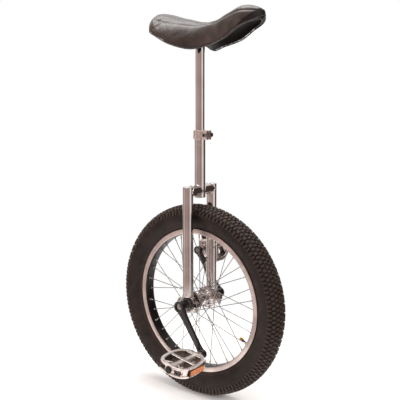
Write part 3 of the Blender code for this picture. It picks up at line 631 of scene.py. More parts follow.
def lugs(out, wide, length, shift, height):
    # a block with a rounded outline and a narrower top, repeated round the tyre; (p, q) across and
    # round it lands at the casing's point for out + p, at angle (i + shift) pitch + q / radius
    v = tyreValues
    corner = rounded([(1, 1), (-1, 1), (-1, -1), (1, -1)], 0.35, 3, True)
    rows = np.array([(0.0, -1.0), (1.06, -1.0), (0.98, height - 0.8), (0.84, height), (0.0, height)])
    p = out + rows[:, :1] * corner[None, :, 0] * wide / 2
    q = rows[:, :1] * corner[None, :, 1] * length / 2
    r, x = onCasing(p, np.broadcast_to(rows[:, 1:], p.shape))
    r = np.minimum(r, v["radius"])
    # every other lug is a little longer and sits a little late
    odd = (np.arange(v["pitches"]) % 2)[:, None, None]
    turn = (np.arange(v["pitches"])[:, None, None] + shift + v["lateBy"] * odd) * tau / v["pitches"]
    turn = turn + q * (v["short"] + v["longer"] * odd) / v["radius"]
    points = np.stack(np.broadcast_arrays(x, r * np.cos(turn), axleHeight + r * np.sin(turn)), -1)
    return surface(points)


def makeTyre():
    v = tyreValues
    section = tyreSection(22)
    lining = section[::-1] - (v["wall"], 0)
    lining[:, 1] *= 0.86
    lining[:, 0] = np.maximum(lining[:, 0], v["bead"])
    casing = turned(np.concatenate([section, lining]), "x", axleAt, v["around"], ring=True)
    blocks = [lugs(sign * out, wide, length, shift + (0.5 if sign > 0 else 0), height)
              for out, wide, length, shift, height in v["rows"] for sign in (-1, 1)]
    # fine moulded ribs low on each side wall, and the mould's parting line round the crown
    ribs = [turned([(r + 0.8, x), (r, x + side * 0.7), (r - 0.8, x), (r, x - side * 1.5)],
                   "x", axleAt, v["around"], ring=True)
            for side in (-1, 1)
            for r, x in ((204.0, side * 16.4), (207.5, side * 18.5), (241.0, side * 30.4))]
    parting = turned([(264.2, 0.3), (261.5, 0.8), (260.8, 0), (261.5, -0.8), (264.2, -0.3)],
                     "x", axleAt, v["around"], ring=True)
    piece("tyre", "wheel", using("tyreRubber"), [casing, *blocks, *ribs, parting])


rimValues = {
    # half section from the hooked edge, down the machined wall and across the black inner face
    "half": ((188.4, 0.0), (188.4, 13.6), (198.0, 14.6), (199.5, 15.8), (199.5, 17.0), (198.8, 17.6),
             (188.0, 17.6), (186.6, 16.8), (185.6, 14.0), (184.9, 8.0), (184.7, 0.0)),
    "inner": 185.8,
    "spokes": 36,
    "spokeX": 4.0,  # the holes lie this far to either side of the middle, by turns
    "eyeletAt": 185.0,
    "nippleLength": 11.5,
}


def makeRim():
    v = rimValues
    half = np.array(v["half"])
    loop = np.concatenate([half, (half * (1, -1))[-2:0:-1]])
    # rows 3 to 6 are the machined wall, and their mirror image on the other side
    machined = np.zeros(len(loop), int)
    machined[3:7] = 1
    machined[len(loop) - 7:len(loop) - 3] = 1
    band = turned(loop, "x", axleAt, 360, ring=True, finish=machined)
    # an eyelet round each nipple
    a = np.arange(v["spokes"]) * tau / v["spokes"]
    inward = np.stack([a * 0, -np.cos(a), -np.sin(a)], -1)
    offset = np.where(np.arange(v["spokes"]) % 2 == 0, v["spokeX"], -v["spokeX"])
    at = -inward * v["eyeletAt"] + np.stack([offset, a * 0, a * 0 + axleHeight], -1)
    eyelet = ringOf([(2.2, 0.7), (3.1, 0.5), (3.4, -0.6), (2.2, -0.6)], 0.3, inward, at, 14, 3)
    piece("rim", "wheel", using("blackAnodised", "machinedAluminium"), [band, eyelet],
          sharp=30)


spokeValues = {
    "each": 9,  # leading or trailing, on one side
    "lead": tau / 6,
    "holeRadius": 26.6,
    "flange": 31.0,
    "offset": 2.4,  # from the flange's middle to a spoke that lies against its face
    "radius": 1.0,
    "elbow": 3.5,
}


def spokeSet(side, lead, first, outside):
    # a spoke goes through its hole, bends along a curve (1-t)^2 A + 2t(1-t) B + t^2 C and runs
    # straight to the rim; all the spokes of a set are one array
    v = spokeValues
    a = first + np.arange(v["each"]) * tau / v["each"]
    face = v["offset"] * (1 if outside else -1)

    def ringPoint(x, radius, angle):
        return np.stack([np.full(len(angle), float(x)), radius * np.cos(angle),
                         axleHeight + radius * np.sin(angle)], -1)

    headAt = ringPoint(side * (v["flange"] - face * 1.05), v["holeRadius"], a)
    bend = ringPoint(side * (v["flange"] + face), v["holeRadius"], a)
    end = ringPoint(side * rimValues["spokeX"], rimValues["inner"] - 1.0, a + lead)
    run = unit(end - bend)
    t = np.linspace(0, 1, 6)[None, :, None]
    curve = (1 - t) ** 2 * headAt[:, None] + 2 * t * (1 - t) * bend[:, None]
    curve = curve + t ** 2 * (bend + run * v["elbow"])[:, None]
    path = np.concatenate([curve, (bend + (end - bend) * 0.5)[:, None], end[:, None]], 1)
    wire = pipe(path, v["radius"], 10)
    outward = headAt - bend
    head = turned([(0, 1.3), (1.3, 1.1), (2.1, 0.3), (2.1, -0.3), (0, -0.3)], unit(outward), headAt, 14)
    long = rimValues["nippleLength"]
    nipple = turned([(0, -long), (1.5, -long), (1.9, -long + 0.6), (1.9, -4.6), (1.5, -4.2),
                     (1.5, -1.8), (2.4, -1.2), (2.4, 0.4), (0, 0.4)], run, end, 12, finish=1)
    return [wire, head, nipple]


def makeSpokes():
    v = spokeValues
    for name, side in sides.items():
        first = 0.0 if side > 0 else tau / 4 / v["each"]
        parts = spokeSet(side, v["lead"], first, True)
        parts += spokeSet(side, -v["lead"], first + tau / 2 / v["each"], False)
        piece(f"{name}Spokes", "wheel", using("stainlessWire", "nickelPlate"), parts)


hubValues = {
    # half section of the shell, from its end over the flange to the middle
    "half": ((14.2, 45.0), (14.2, 37.0), (16.0, 35.0), (22.0, 33.4), (29.0, 32.5), (30.0, 31.8),
             (30.0, 30.2), (29.0, 29.5), (23.0, 28.6), (19.0, 25.0), (17.4, 20.0), (16.6, 12.0),
             (16.4, 0.0)),
    "bore": 11.0,
    "bands": (-9.0, 9.0),  # where the raised rings on the barrel lie
}


def makeHub():
    v = hubValues
    half = np.array(v["half"])
    end = half[0, 1]
    loop = np.concatenate([half, (half * (1, -1))[-2::-1], [(v["bore"], -end), (v["bore"], end)]])
    bands = [ringOf([(17.4, x + 1.2), (17.4, x - 1.2), (15.8, x - 1.6), (15.8, x + 1.6)], 0.4,
                    "x", axleAt, 96) for x in v["bands"]]
    piece("hubShell", "wheel", using("turnedAluminium"),
          [turned(loop, "x", axleAt, 96, ring=True), *bands], sharp=30)
    end = reach("axle", "x", 1)
    right = [(0, end - 20), (4.3, end - 20), (4.3, end), (8.8, end), (9.6, end - 0.8), (9.6, 62.6),
             (10.7, 62.0)]
    shaft = np.concatenate([right, (np.array(right) * (1, -1))[::-1]])
    zinced("axle", "wheel", [turned(shaft, "x", axleAt, 48)])


valveValues = {
    # sections as (radius, distance from the axle)
    "stem": ((0, 203.0), (4.0, 203.0), (4.0, 186.0), (3.4, 181.0), (3.1, 176.0), (3.1, 167.5),
             (0, 167.5)),
    "lock": ((3.0, 185.0), (5.6, 185.0), (5.6, 183.4), (3.0, 182.6)),
    "cap": ((0, 167.2), (4.2, 167.2), (4.2, 161.0), (3.0, 157.6), (0, 157.0)),
    "foot": 190.0,  # heights are measured from here towards the axle
    "flutes": 15,
    "fluteDepth": 0.05,
}


def makeValve():
    v = valveValues
    stem, cap = middle("valve_stem"), middle("valve_cap")
    inward = unit((cap - stem) * (0, 1, 1))
    foot = axleAt - inward * v["foot"]
    base, lock, tip = ([(r, v["foot"] - d) for r, d in v[key]] for key in ("stem", "lock", "cap"))
    piece("valveStem", "wheel", using("butylRubber", "nickelPlate"),
          [turned(rounded(base, 0.6), inward, foot, 28), ringOf(lock, 0.4, inward, foot, 28, finish=1)])
    # the cap's grip: a wavy skirt of fine flutes
    tip = rounded(tip, 0.5)
    a = np.arange(60) * tau / 60
    u, w = across(inward)
    flutes = 1 + v["fluteDepth"] * np.cos(v["flutes"] * a)
    spin = (np.cos(a)[:, None] * u + np.sin(a)[:, None] * w) * flutes[:, None]
    points = foot + tip[:, 1, None, None] * inward + tip[:, :1, None] * spin
    piece("valveCap", "wheel", using("brass"), [surface(points)])


makeTyre()
makeRim()
makeSpokes()
makeHub()
makeValve()
print("wheel made")


crankValues = {
    "bossRadius": 15.5,
    "bossFrom": 64.0,
    "bossTo": 94.0,
    "eyeRadius": 12.0,
    "eyeFrom": 85.0,
    "eyeTo": 98.0,
    "armHalfWidth": (9.6, 7.3),  # at the boss and at the eye
    "armHalfThick": (5.4, 4.8),
    "armMiddle": (88.0, 91.0),
}


def crankFrame(side):
    # outward along the axle, across the arm, and down the arm from the axle to the pedal
    name = "right" if side < 0 else "left"
    pedalAt = np.array(joints[f"{name}_pedal_spin"]["pos_m"]) / mm
    run = (pedalAt - axleAt) * (0, 1, 1)
    down = unit(run)
    out = np.array((float(side), 0, 0))
    return out, np.cross(down, out), down, np.linalg.norm(run), pedalAt


def crankArm(length, out, wide, down):
    # a superellipse carried down the arm: x = m(s) + h(s) S(sin a), y = w(s) S(cos a), where
    # S(q) = sign(q) |q|^0.45 squares it off; w flares into the boss and the eye
    v = crankValues
    s = np.linspace(0, 1, 48)[:, None]
    a = (np.arange(40) * tau / 40)[None, :]
    flare = 4.6 * np.exp(-s * 11) + 2.4 * np.exp(-(1 - s) * 16)
    w = v["armHalfWidth"][0] + (v["armHalfWidth"][1] - v["armHalfWidth"][0]) * s + flare
    h = v["armHalfThick"][0] + (v["armHalfThick"][1] - v["armHalfThick"][0]) * s
    m = v["armMiddle"][0] + (v["armMiddle"][1] - v["armMiddle"][0]) * s

    def squared(q):
        return np.sign(q) * np.abs(q) ** 0.45

    # a shallow channel down the outer face keeps its edges proud
    channel = 0.8 * np.exp(-((np.cos(a) / 0.55) ** 4)) * (np.sin(a) > 0.2) * np.sin(math.pi * s) ** 0.5
    x = m + h * squared(np.sin(a)) - channel
    y = w * squared(np.cos(a))
    z = 11.5 + (length - 21.5) * s + 0 * a
    points = x[..., None] * out + y[..., None] * wide + z[..., None] * down
    points = points + axleAt
    ends = [np.broadcast_to(points[i].mean(0), points[:1].shape) for i in (0, -1)]
    return surface(np.concatenate([ends[0], points, ends[1]]))


def makeCranks():
    v = crankValues
    for name, side in sides.items():
        out, wide, down, length, pedalAt = crankFrame(side)
        boss = [(10.0, v["bossFrom"]), (14.6, v["bossFrom"]), (15.2, 66.0), (v["bossRadius"], 80.0),
                (v["bossRadius"], 92.6),
                (14.1, v["bossTo"]), (10.2, v["bossTo"]), (9.4, 93.2), (9.4, 88.7), (5.0, 88.7),
                (5.0, 86.5), (10.0, 86.5)]
        eyeAt = pedalAt * (0, 1, 1)
        eye = [(7.4, v["eyeTo"]), (10.8, v["eyeTo"]), (v["eyeRadius"], 96.8), (v["eyeRadius"], 86.2),
               (10.8, v["eyeFrom"]),
               (7.4, v["eyeFrom"])]
        piece(f"{name}Crank", "wheel", using("blackEnamel"),
              [ringOf(boss, 0.7, out, axleAt, 72), ringOf(eye, 0.7, out, eyeAt, 64),
               crankArm(length, out, wide, down)])
        # a flanged hexagonal bolt in the boss's recess
        bolt = [(0, 92.6), (4.9, 92.6), (5.6, 92.0), (5.6, 90.4), (8.3, 90.2), (8.9, 89.6), (8.9, 89.0),
                (4.0, 89.0), (4.0, 68.0), (0, 68.0)]
        zinced(f"{name}CrankBolt", "wheel", [turned(bolt, out, axleAt, 48, hexRows=range(1, 4))])
        spindle = [(0, 218), (5.2, 218), (6.0, 217), (6.0, 112), (7.6, 110.5), (7.6, 102.2),
                   (9.2, 101.6), (9.2, 98.4), (7.1, 98.4), (7.1, 86.8), (6.4, 86.2), (0, 86.2)]
        # the hexagonal rows are wrench flats on the collar
        zinced(f"{name}PedalSpindle", "wheel", [turned(spindle, out, eyeAt, 48, hexRows=range(6, 8))])


pedalValues = {
    "tilt": {"right": math.radians(10), "left": math.radians(85)},
    "halfHeight": 12.5,
    # half of the platform from above: (along the spindle, across it)
    "outline": ((115, 21), (121, 28), (134, 40), (150, 45), (170, 46.5), (190, 46), (206, 43),
                (217, 35), (223, 24), (225, 12)),
    "cageWall": 9.6,
    "rail": 5.5,  # depth of the top and of the bottom rail
    "beam": 12.2,  # radius of the barrel round the spindle at its ends, and in its middle
    "beamMiddle": 10.4,
    # cross ribs: where each lies, its width, its reach
    "ribs": ((127.0, 6.5, 38.0), (169.5, 10.5, 44.0)),
    "reflector": (144.5, 199.5, 9.2),  # from, to, half height
    "slot": (14.5, 30.5),  # an open slot in the outer end, on each side of the cap
}


def pedalOutline(inset):
    # the platform's outline as one smooth closed curve, moved inwards along its normal by an inset
    half = np.array(pedalValues["outline"], float)
    line = rounded(np.concatenate([half, half[::-1] * (1, -1)]), 4.5, 6, closed=True)
    run = unit(np.roll(line, -1, 0) - np.roll(line, 1, 0))
    normal = np.stack([run[:, 1], -run[:, 0]], -1)
    return line + normal * inset


def pedalFrame(name, side):
    # the directions of a pedal's own axes after its tilt about the axle's direction
    tilt = pedalValues["tilt"][name]
    u = (float(side), 0, 0)
    v = (0, math.cos(tilt), math.sin(tilt))
    w = (0, -math.sin(tilt), math.cos(tilt))
    at = np.array(joints[f"{name}_pedal_spin"]["pos_m"]) / mm * (0, 1, 1)
    return u, v, w, at


def pedalCage():
    # top and bottom rails, a wall between them that leaves the end slots open, and cross ribs;
    # the sides that face the windows are painted dark as the shade inside them
    v = pedalValues
    high, wall = v["halfHeight"], v["cageWall"]
    # finish 1 marks the window-facing sides, which carry the painted shade
    inside = np.zeros((1, 16), int)
    inside[0, 2:5] = 1
    both = inside.copy()
    both[0, 10:13] = 1
    outer, inner = pedalOutline(0.0), pedalOutline(wall)
    rails = [bar(inner, outer, high - v["rail"], high, 1.2, closed=True, finish=inside),
             bar(inner, outer, -high, -high + v["rail"], 1.2, closed=True, finish=inside)]
    wallIn, wallOut = pedalOutline(wall - 0.4), pedalOutline(2.6)
    near, far = v["slot"]
    isSlot = (wallOut[:, 0] > 205) & (np.abs(wallOut[:, 1]) > near) & (np.abs(wallOut[:, 1]) < far)
    edges = np.flatnonzero(np.diff(isSlot.astype(int)))
    turnBy = edges[1] + 1
    wallIn, wallOut, isSlot = (np.roll(x, -turnBy, 0) for x in (wallIn, wallOut, isSlot))
    kept = np.flatnonzero(~isSlot)
    for stretch in np.split(kept, np.flatnonzero(np.diff(kept) > 1) + 1):
        rails.append(bar(wallIn[stretch], wallOut[stretch], -high + 4, high - 4, 0.8, finish=inside))
    ribs = [bar([(x - w / 2, -wide), (x - w / 2, wide)], [(x + w / 2, -wide), (x + w / 2, wide)],
                -high + 1.2, high - 1.2, 1.4, finish=both) for x, w, wide in v["ribs"]]
    # a strut from the barrel to each outer corner of the cage
    struts = [bar([(198.0, face * 9.0), (214.0, face * 36.0)],
                  [(203.5, face * 9.0), (219.0, face * 33.0)],
                  -high + 2.5, high - 2.5, 1.2, finish=both) for face in (-1, 1)]
    return rails + ribs + struts


def makePedals():
    v = pedalValues
    high = v["halfHeight"]
    for name, side in sides.items():
        u, aside, up, at = pedalFrame(name, side)
        body = f"{name}_pedal_body"
        # grip pins standing on both faces of the rails
        pinAt = pedalOutline(v["cageWall"] / 2)[::5]
        pins = []
        for face in (1, -1):
            lift = np.concatenate([pinAt, np.full((len(pinAt), 1), face * (high - 0.4))], 1)
            pins.append(turned([(0, 0.4), (1.1, 0.35), (1.5, -0.1), (1.5, -1.5), (0, -1.5)],
                               np.tile((0.0, 0.0, float(face)), (len(pinAt), 1)), lift, 10))
        cage = [stood(part, u, aside, up, at) for part in pedalCage() + pins]
        thick, thin = v["beam"], v["beamMiddle"]
        barrel = ringOf([(6.6, 116.0), (thick - 1, 116.0), (thick, 119.0), (thin, 138.0),
                         (thin, 200.0), (thick, 217.0), (thick - 1, 224.6), (6.6, 224.6)],
                        2.5, u, at, 56, 5)
        # the second finish is the painted shade on the window-facing sides
        piece(f"{name}Pedal", body, using("castAluminium", "dullCastPaintedShade"),
              [*cage, barrel], sharp=32)
        cap = [(0, 229.0), (5.0, 228.9), (8.4, 228.4), (9.6, 227.0), (9.6, 225.4), (6.0, 225.4),
               (6.0, 219.5), (0, 219.5)]
        piece(f"{name}PedalCap", body, using("mouldedPlastic"),
              [turned(cap, u, at, 48)])
        x0, x1, tall = v["reflector"]
        for end, front in (("front", -1), ("rear", 1)):
            # a dark tray with a raised lip round an amber lens
            tray = bar([(x0, front * 42.8), (x1, front * 42.8)],
                       [(x0, front * 48.0), (x1, front * 48.0)], -tall, tall, 0.8)
            lens = bar([(x0 + 2.0, front * 46.0), (x1 - 2.0, front * 46.0)],
                       [(x0 + 2.0, front * 48.6), (x1 - 2.0, front * 48.6)],
                       -tall + 1.6, tall - 1.6, 0.7, finish=1)
            piece(f"{name}Pedal{end.title()}Reflector", body,
                  using("mouldedPlastic", "amberLens"),
                  [stood(part, u, aside, up, at) for part in (tray, lens)])


makeCranks()
makePedals()
print("cranks and pedals made")


saddleValues = {
    "nose": -196.0,
    "tail": 130.0,
    "noseRound": 44.0,
    "tailRound": 41.0,
    # stations evenly spaced from nose to tail: half width, height of the crest, height of the edge
    "stations": ((39, 1033, 1008), (43, 1039, 990), (44, 1027, 963), (38, 1012, 949),
                 (54, 1008, 940), (84, 1015, 953), (90, 1024, 977), (84, 1046, 999)),
    # how much fuller the crest stands than the moulded pan: height, share of the length, spread
    "fullness": ((5.0, 0.12, 0.2), (3.0, 1.0, 0.2)),
    "cover": (0.0, 0.0),  # side and crest insets of the outer skin
    "lining": (7.0, 24.0),
    "pan": (7.3, 24.3),
    "panInside": (11.3, 28.3),
    # each bumper is the part of the shell beyond a sloping line, given by two (y, z) points
    "bumpers": {"rear": ((86, 958), (126, 1032)), "front": ((-118, 965), (-192, 1027))},
    "voxel": 4.0,
    "pressure": 30.0,
    "moments": 20,  # frames of simulation
    "mostSwell": 5.5,
    "startSmaller": 1.0,
    "seam": (1.6, 2.6),  # depth and width of the groove
    "wrinkle": 0.09,  # depth
    "welt": 1.5,  # radius
}


def stationCurve(column, share):
    # a cubic between each two stations, whose slope at a station is the harmonic mean of the rises
    # on either side, or nothing where they have different signs
    values = np.array(saddleValues["stations"], float)[:, column]
    rises = np.diff(values)
    before, after = np.r_[rises[:1], rises], np.r_[rises, rises[-1:]]
    same = before * after > 0
    slopes = np.where(same, 2 * before * after / np.where(same, before + after, 1), 0)
    at = np.clip(share, 0, 1) * (len(values) - 1)
    i = np.minimum(at.astype(int), len(values) - 2)
    t = at - i
    return ((2 * t ** 3 - 3 * t ** 2 + 1) * values[i] + (t ** 3 - 2 * t ** 2 + t) * slopes[i]
            + (3 * t ** 2 - 2 * t ** 3) * values[i + 1] + (t ** 3 - t ** 2) * slopes[i + 1])


def saddleArch(insets, rows=90, arch=56):
    # rows y = nose + (tail - nose)(0.5 - 0.5 cos(pi i / n)); each is an arch x = w S(cos a),
    # z = edge + (crest - edge) min(0.45 (1 - sqrt f) + sqrt f S(sin a), 1), S(q) = sign(q) |q|^0.75,
    # where f shrinks the width in quarter circles at the nose and the tail
    v = saddleValues
    sideIn, topIn = insets
    nose, tail = v["nose"] + sideIn, v["tail"] - sideIn
    y = nose + (tail - nose) * (0.5 - 0.5 * np.cos(math.pi * np.arange(rows + 1) / rows))
    share = lengthShare(y)
    fromNose = np.minimum((y - nose) / (v["noseRound"] - sideIn), 1)
    fromTail = np.minimum((tail - y) / (v["tailRound"] - sideIn), 1)
    f = np.sqrt(np.maximum(1 - (1 - fromNose) ** 2, 0))
    f = f * np.sqrt(np.maximum(1 - (1 - fromTail) ** 2, 0))
    halfWidth = (stationCurve(0, share) - sideIn) * f
    edge = stationCurve(2, share)
    fuller = sum(tall * np.exp(-(((share - at) / spread) ** 2)) for tall, at, spread in v["fullness"])
    height = stationCurve(1, share) + fuller - topIn - edge
    a = math.pi * np.arange(arch + 1) / arch
    c = np.sign(np.cos(a)) * np.abs(np.cos(a)) ** 0.75
    s = np.abs(np.sin(a)) ** 0.75
    root = np.sqrt(f)[:, None]
    rise = np.minimum(0.45 * (1 - root) + root * s[None, :], 1)
    x = halfWidth[:, None] * c[None, :]
    z = edge[:, None] + height[:, None] * rise
    return np.stack([x, np.broadcast_to(y[:, None], x.shape), z], -1)


def saddleShell(outside, inside, flatBelow=None):
    outer, inner = saddleArch(outside), saddleArch(inside)
    if flatBelow is not None:
        under = (np.abs(inner[..., 0]) < 28) & (np.abs(inner[..., 1]) < 50)
        inner[..., 2] = np.where(under, np.minimum(inner[..., 2], flatBelow), inner[..., 2])
    return surface(np.concatenate([outer, inner[:, ::-1]], 1))


def cutAlong(mesh, line, keepBeyond, gap=0.0):
    # cuts a mesh along a sloping plane across the saddle and closes the cut
    (y0, z0), (y1, z1) = line
    run = unit(np.array((0.0, y1 - y0, z1 - z0)))
    beyond = np.array((0.0, run[2], -run[1]))
    beyond = beyond if beyond[2] < 0 else -beyond
    at = (np.array((0.0, y0, z0)) - beyond * gap) * mm
    built = bmesh.new()
    built.from_mesh(mesh)
    geometry = built.verts[:] + built.edges[:] + built.faces[:]
    bmesh.ops.bisect_plane(built, geom=geometry, plane_co=at, plane_no=beyond,
                           clear_inner=keepBeyond, clear_outer=not keepBeyond)
    bmesh.ops.holes_fill(built, edges=[edge for edge in built.edges if edge.is_boundary])
    bmesh.ops.recalc_face_normals(built, faces=built.faces)
    built.to_mesh(mesh)
    built.free()
    return mesh


def positions(mesh):
    flat = np.empty(len(mesh.vertices) * 3, np.float32)
    mesh.vertices.foreach_get("co", flat)
    return flat.reshape(-1, 3).astype(float)


def withModifier(obj, kind, **settings):
    # the mesh that an object has once a modifier has acted
    modifier = obj.modifiers.new(kind.lower(), kind)
    for name, value in settings.items():
        setattr(modifier, name, value)
    graph = bpy.context.evaluated_depsgraph_get()
    made = bpy.data.meshes.new_from_object(obj.evaluated_get(graph))
    obj.modifiers.remove(modifier)
    return made


def normalsOf(mesh):
    flat = np.empty(len(mesh.vertices) * 3, np.float32)
    mesh.vertices.foreach_get("normal", flat)
    return flat.reshape(-1, 3)


def lengthShare(y):
    # a distance along the saddle, in millimetres, as a share of the way from nose to tail
    return (y - saddleValues["nose"]) / (saddleValues["tail"] - saddleValues["nose"])


def edgeHeight(points):
    # how far each point is above the saddle's lower edge, as a share of the arch's height
    share = lengthShare(points[:, 1] / mm)
    low, crest = stationCurve(2, share), stationCurve(1, share)
    return (points[:, 2] / mm - low) / np.maximum(crest - low, 1)


def swell(mesh):
    # the foam pushes the skin out: cloth under pressure, held at its lower edge, moves at most a cap
    v = saddleValues
    padding = bpy.data.objects.new("padding", mesh)
    bpy.context.scene.collection.objects.link(padding)
    padding.data = withModifier(padding, "REMESH", mode="VOXEL", voxel_size=v["voxel"] * mm)
    start = positions(padding.data)
    held = padding.vertex_groups.new(name="held")
    # the lower edge and whatever faces down stay where they are
    pinned = np.flatnonzero((edgeHeight(start) < 0.25) | (normalsOf(padding.data)[:, 2] < -0.2))
    held.add(pinned.tolist(), 1.0, "ADD")
    cloth = padding.modifiers.new("cloth", "CLOTH")
    cloth.settings.use_pressure = True
    cloth.settings.uniform_pressure_force = v["pressure"]
    cloth.settings.effector_weights.gravity = 0
    cloth.settings.vertex_group_mass = "held"
    scene = bpy.context.scene
    for moment in range(1, v["moments"] + 1):
        scene.frame_set(moment)
    graph = bpy.context.evaluated_depsgraph_get()
    end = positions(padding.evaluated_get(graph).data)
    padding.modifiers.remove(cloth)
    scene.frame_set(1)
    move = end - start
    size = np.linalg.norm(move, axis=1, keepdims=True)
    move = move * np.minimum(1, v["mostSwell"] * mm / np.maximum(size, 1e-9))
    padding.data.vertices.foreach_set("co", (start + move).ravel().astype(np.float32))
    smooth = withModifier(padding, "SUBSURF", levels=1, render_levels=1)
    bpy.data.objects.remove(padding)
    return smooth


def sewSeam(mesh):
    # a groove along each shoulder: depth exp(-(q / width)^2), q the distance from the seam's height
    points = positions(mesh)
    normals = normalsOf(mesh)
    v = saddleValues
    share = lengthShare(points[:, 1] / mm)
    seam = 0.80 - 0.06 * np.cos(tau * share)
    tall = stationCurve(1, share) - stationCurve(2, share)
    q = (edgeHeight(points) - seam) * tall
    side = np.clip(np.abs(points[:, 0]) / mm / 14, 0, 1) * (normals[:, 2] > -0.2)
    depth, width = v["seam"]
    groove = depth * np.exp(-((q / width) ** 2)) * side
    # slight stretch wrinkles across the waist of the saddle
    waist = np.exp(-(((points[:, 1] / mm + 62) / 38) ** 2))
    wrinkle = v["wrinkle"] * waist * np.sin(points[:, 1] / mm * 0.55 + points[:, 0] / mm * 0.06)
    moved = points - normals * ((groove + wrinkle) * mm)[:, None]
    mesh.vertices.foreach_set("co", moved.ravel().astype(np.float32))


def makeSaddle():
    v = saddleValues
    smaller = v["startSmaller"]
    shell = meshOf("saddleCover", [saddleShell((smaller * 0.6, smaller), v["lining"])])
    for line in v["bumpers"].values():
        cutAlong(shell, line, keepBeyond=False, gap=0.8)
    cover = swell(shell)
    sewSeam(cover)
    cover.name = "saddleCoverMesh"
    obj = place("saddleCover", cover, "seat", using("grainedVinyl"), 80)
    for name, line in v["bumpers"].items():
        guard = meshOf(f"{name}Bumper", [saddleShell(v["cover"], v["lining"])])
        cutAlong(guard, line, keepBeyond=True)
        place(f"{name}Bumper", guard, "seat", using("mouldedPlastic"), 50)
    plateTop = reach("saddle_bracket", "z", 1)
    pan = saddleShell(v["pan"], v["panInside"], plateTop + 0.3)
    piece("saddleBase", "seat", using("mouldedPlastic"), [pan], sharp=50)
    # a welt along the lower edge, from the nose down one side, round the tail and back
    rim = saddleArch((1.4, 0.0))
    path = np.concatenate([rim[2:-2, 0], rim[-3:1:-1, -1]]) + (0, 0, -0.4)
    piece("edgeWelt", "seat", using("palePiping"),
          [pipe(path, v["welt"], 10, closed=True)])


postValues = {
    "wall": 1.7,
    "plateCorner": 7,  # how far the bracket's corners are rounded
}


def makePost():
    v = postValues
    low, high = span("seatpost", "z")
    radius = radiusOf("seatpost")
    chromed("seatpost", "seat", [tube(radius, v["wall"], low, high)])
    plateLow, plateTop = span("saddle_bracket", "z")
    halfX, halfY = reach("saddle_bracket", "x", 1), reach("saddle_bracket", "y", 1)
    # a pressed plate with round corners, and the weld where the post meets it
    edge = rounded([(halfX, halfY), (-halfX, halfY), (-halfX, -halfY), (halfX, -halfY)],
                   v["plateCorner"], 8, True)
    plate = bar(edge * 0.02, edge, plateLow, plateTop, 0.8, closed=True)
    a = np.arange(60) * tau / 60
    toe = radius + 0.4
    weld = weldBead(toe * np.cos(a), toe * np.sin(a), np.full(60, plateLow - 0.7), 0)
    chromed("saddleBracket", "seat", [plate, weld])
    for name, side in sides.items():
        for end in ("front", "rear"):
            node = f"{name}_{end}_saddle_bolt"
            x, y, _ = middle(node)
            low, high = span(node, "z")
            shape = [(0, high), (2.6, high), (3.0, high - 0.5), (3.0, plateLow - 0.3),
                     (5.6, plateLow - 0.3), (5.6, low + 0.5), (5.1, low), (0, low)]
            zinced(f"{name}{end.title()}SaddleBolt", "seat",
                   [turned(shape, "z", (x, y, 0), 36, hexRows=range(4, 7))])


makePost()
makeSaddle()
print("seat made")

# the tube and the strip lie hidden inside the tyre and the rim, and keep their CAD shape
for node in ("inner_tube", "rim_strip"):
    hidden = frame["nodes"][node]
    hidden.data.materials.clear()
    hidden.data.materials.append(finishes["butylRubber"])


studioValues = {
    "camera": {"azimuth": -51.84, "distance": 1.8589, "height": 0.8343, "tiltDown": 8.9, "lens": 62.77},
    "floorSize": 8.0,
    "floorFade": (0.34, 0.85),  # the floor thins out between these distances from the wheel
    # what the walls round the set look like, by the angle from behind the camera to its right
    "walls": ((-180, "#ffffff"), (-138, "#f4efec"), (-114, "#9c8c87"), (-82, "#d8c7c1"),
              (-52, "#a99590"), (-24, "#c0aca6"), (4, "#a38e88"), (34, "#b9a59f"), (50, "#ffffff"),
              (70, "#fbf2ee"), (86, "#6a5c58"), (104, "#453a37"), (122, "#4a3f3c"),
              (144, "#f4efec"), (180, "#ffffff")),
    "overhead": "#f3edea",
    "worldStrength": 1.0,
    # lights: where, how large, how strong
    "lights": {
        "overhead": ((0.3, 0.2, 3.0), 2.4, 62),
        "leftBox": ((-2.7, 1.2, 1.6), 1.5, 60),
        "rightBox": ((0.9, -2.9, 1.9), 1.0, 20),
    },
}


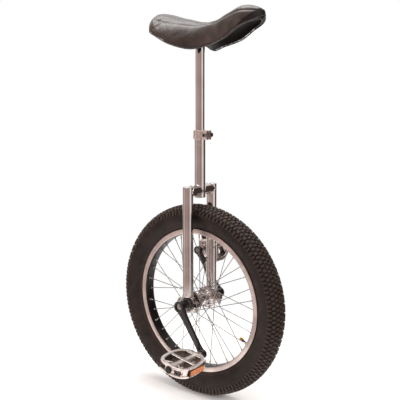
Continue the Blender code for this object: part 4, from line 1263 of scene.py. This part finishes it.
def makeStudio():
    v = studioValues
    scene = bpy.context.scene
    scene.view_settings.view_transform = "Standard"
    half = v["floorSize"] / 2
    flat = bpy.data.meshes.new("floor")
    corners = [(-half, -half, 0), (half, -half, 0), (half, half, 0), (-half, half, 0)]
    flat.from_pydata(corners, [], [(0, 1, 2, 3)])
    floor = bpy.data.objects.new("floor", flat)
    scene.collection.objects.link(floor)
    flat.materials.append(finishes["studioFloor"])
    # the floor thins out with distance: clear share = (r - near) / (far - near)
    tree = finishes["studioFloor"].node_tree
    spot = addNode(tree, "ShaderNodeTexCoord").outputs["Object"]
    r = addNode(tree, "ShaderNodeVectorMath", links={0: spot}, operation="LENGTH").outputs["Value"]
    near, far = v["floorFade"]
    solid = addNode(tree, "ShaderNodeMapRange", {"From Min": far, "From Max": near}, {"Value": r},
                    interpolation_type="SMOOTHSTEP").outputs["Result"]
    tree.links.new(solid, tree.nodes["Principled BSDF"].inputs["Alpha"])
    for name, (at, size, power) in v["lights"].items():
        lamp = bpy.data.lights.new(name, "AREA")
        lamp.size = size
        lamp.energy = power
        light = bpy.data.objects.new(name, lamp)
        light.location = at
        light.visible_glossy = name == "overhead"
        aim = np.array((0, 0, 0.55)) - at
        tilt = math.atan2(math.hypot(aim[0], aim[1]), -aim[2])
        light.rotation_euler = (tilt, 0, math.atan2(-aim[0], aim[1]))
        scene.collection.objects.link(light)
    # the walls change with the angle round the set, and the ceiling is one pale diffuser; the
    # backdrop that a camera sees is plain white
    view = v["camera"]
    facing = math.radians(view["azimuth"])
    world = bpy.data.worlds.new("studio")
    scene.world = world
    world.use_nodes = True
    tree = world.node_tree
    sky = tree.nodes["Background"]
    direction = addNode(tree, "ShaderNodeTexCoord").outputs["Generated"]
    swung = addNode(tree, "ShaderNodeMapping", {"Rotation": (0, 0, math.pi / 2 - facing)},
                    {"Vector": direction}).outputs["Vector"]
    angle = addNode(tree, "ShaderNodeTexGradient", links={"Vector": swung},
                    gradient_type="RADIAL").outputs["Fac"]
    ramp = addNode(tree, "ShaderNodeValToRGB", links={"Fac": angle})
    stops = ramp.color_ramp
    stops.interpolation = "EASE"
    for count, (turn, shade) in enumerate(v["walls"]):
        where = turn / 360 + 0.5
        stop = stops.elements[count] if count < 2 else stops.elements.new(where)
        stop.position = where
        stop.color = linear(shade)
    height = addNode(tree, "ShaderNodeSeparateXYZ", links={"Vector": direction}).outputs["Z"]
    up = addNode(tree, "ShaderNodeMapRange", {"From Min": 0.5, "From Max": 0.8}, {"Value": height},
                 interpolation_type="SMOOTHSTEP").outputs["Result"]
    room = addNode(tree, "ShaderNodeMix", {7: linear(v["overhead"])}, {0: up, 6: ramp.outputs["Color"]},
                   data_type="RGBA").outputs[2]
    seen = addNode(tree, "ShaderNodeLightPath").outputs["Is Camera Ray"]
    shown = addNode(tree, "ShaderNodeMix", {7: (1.0, 1.0, 1.0, 1.0)}, {0: seen, 6: room},
                    data_type="RGBA").outputs[2]
    tree.links.new(shown, sky.inputs["Color"])
    sky.inputs["Strength"].default_value = v["worldStrength"]
    lens = bpy.data.cameras.new("camera")
    lens.lens = view["lens"]
    lens.sensor_width = 36
    camera = bpy.data.objects.new("camera", lens)
    away = view["distance"]
    camera.location = (math.sin(facing) * away, -math.cos(facing) * away, view["height"])
    camera.rotation_euler = (math.radians(90 - view["tiltDown"]), 0, facing)
    scene.collection.objects.link(camera)
    scene.camera = camera


makeStudio()
print("studio made")
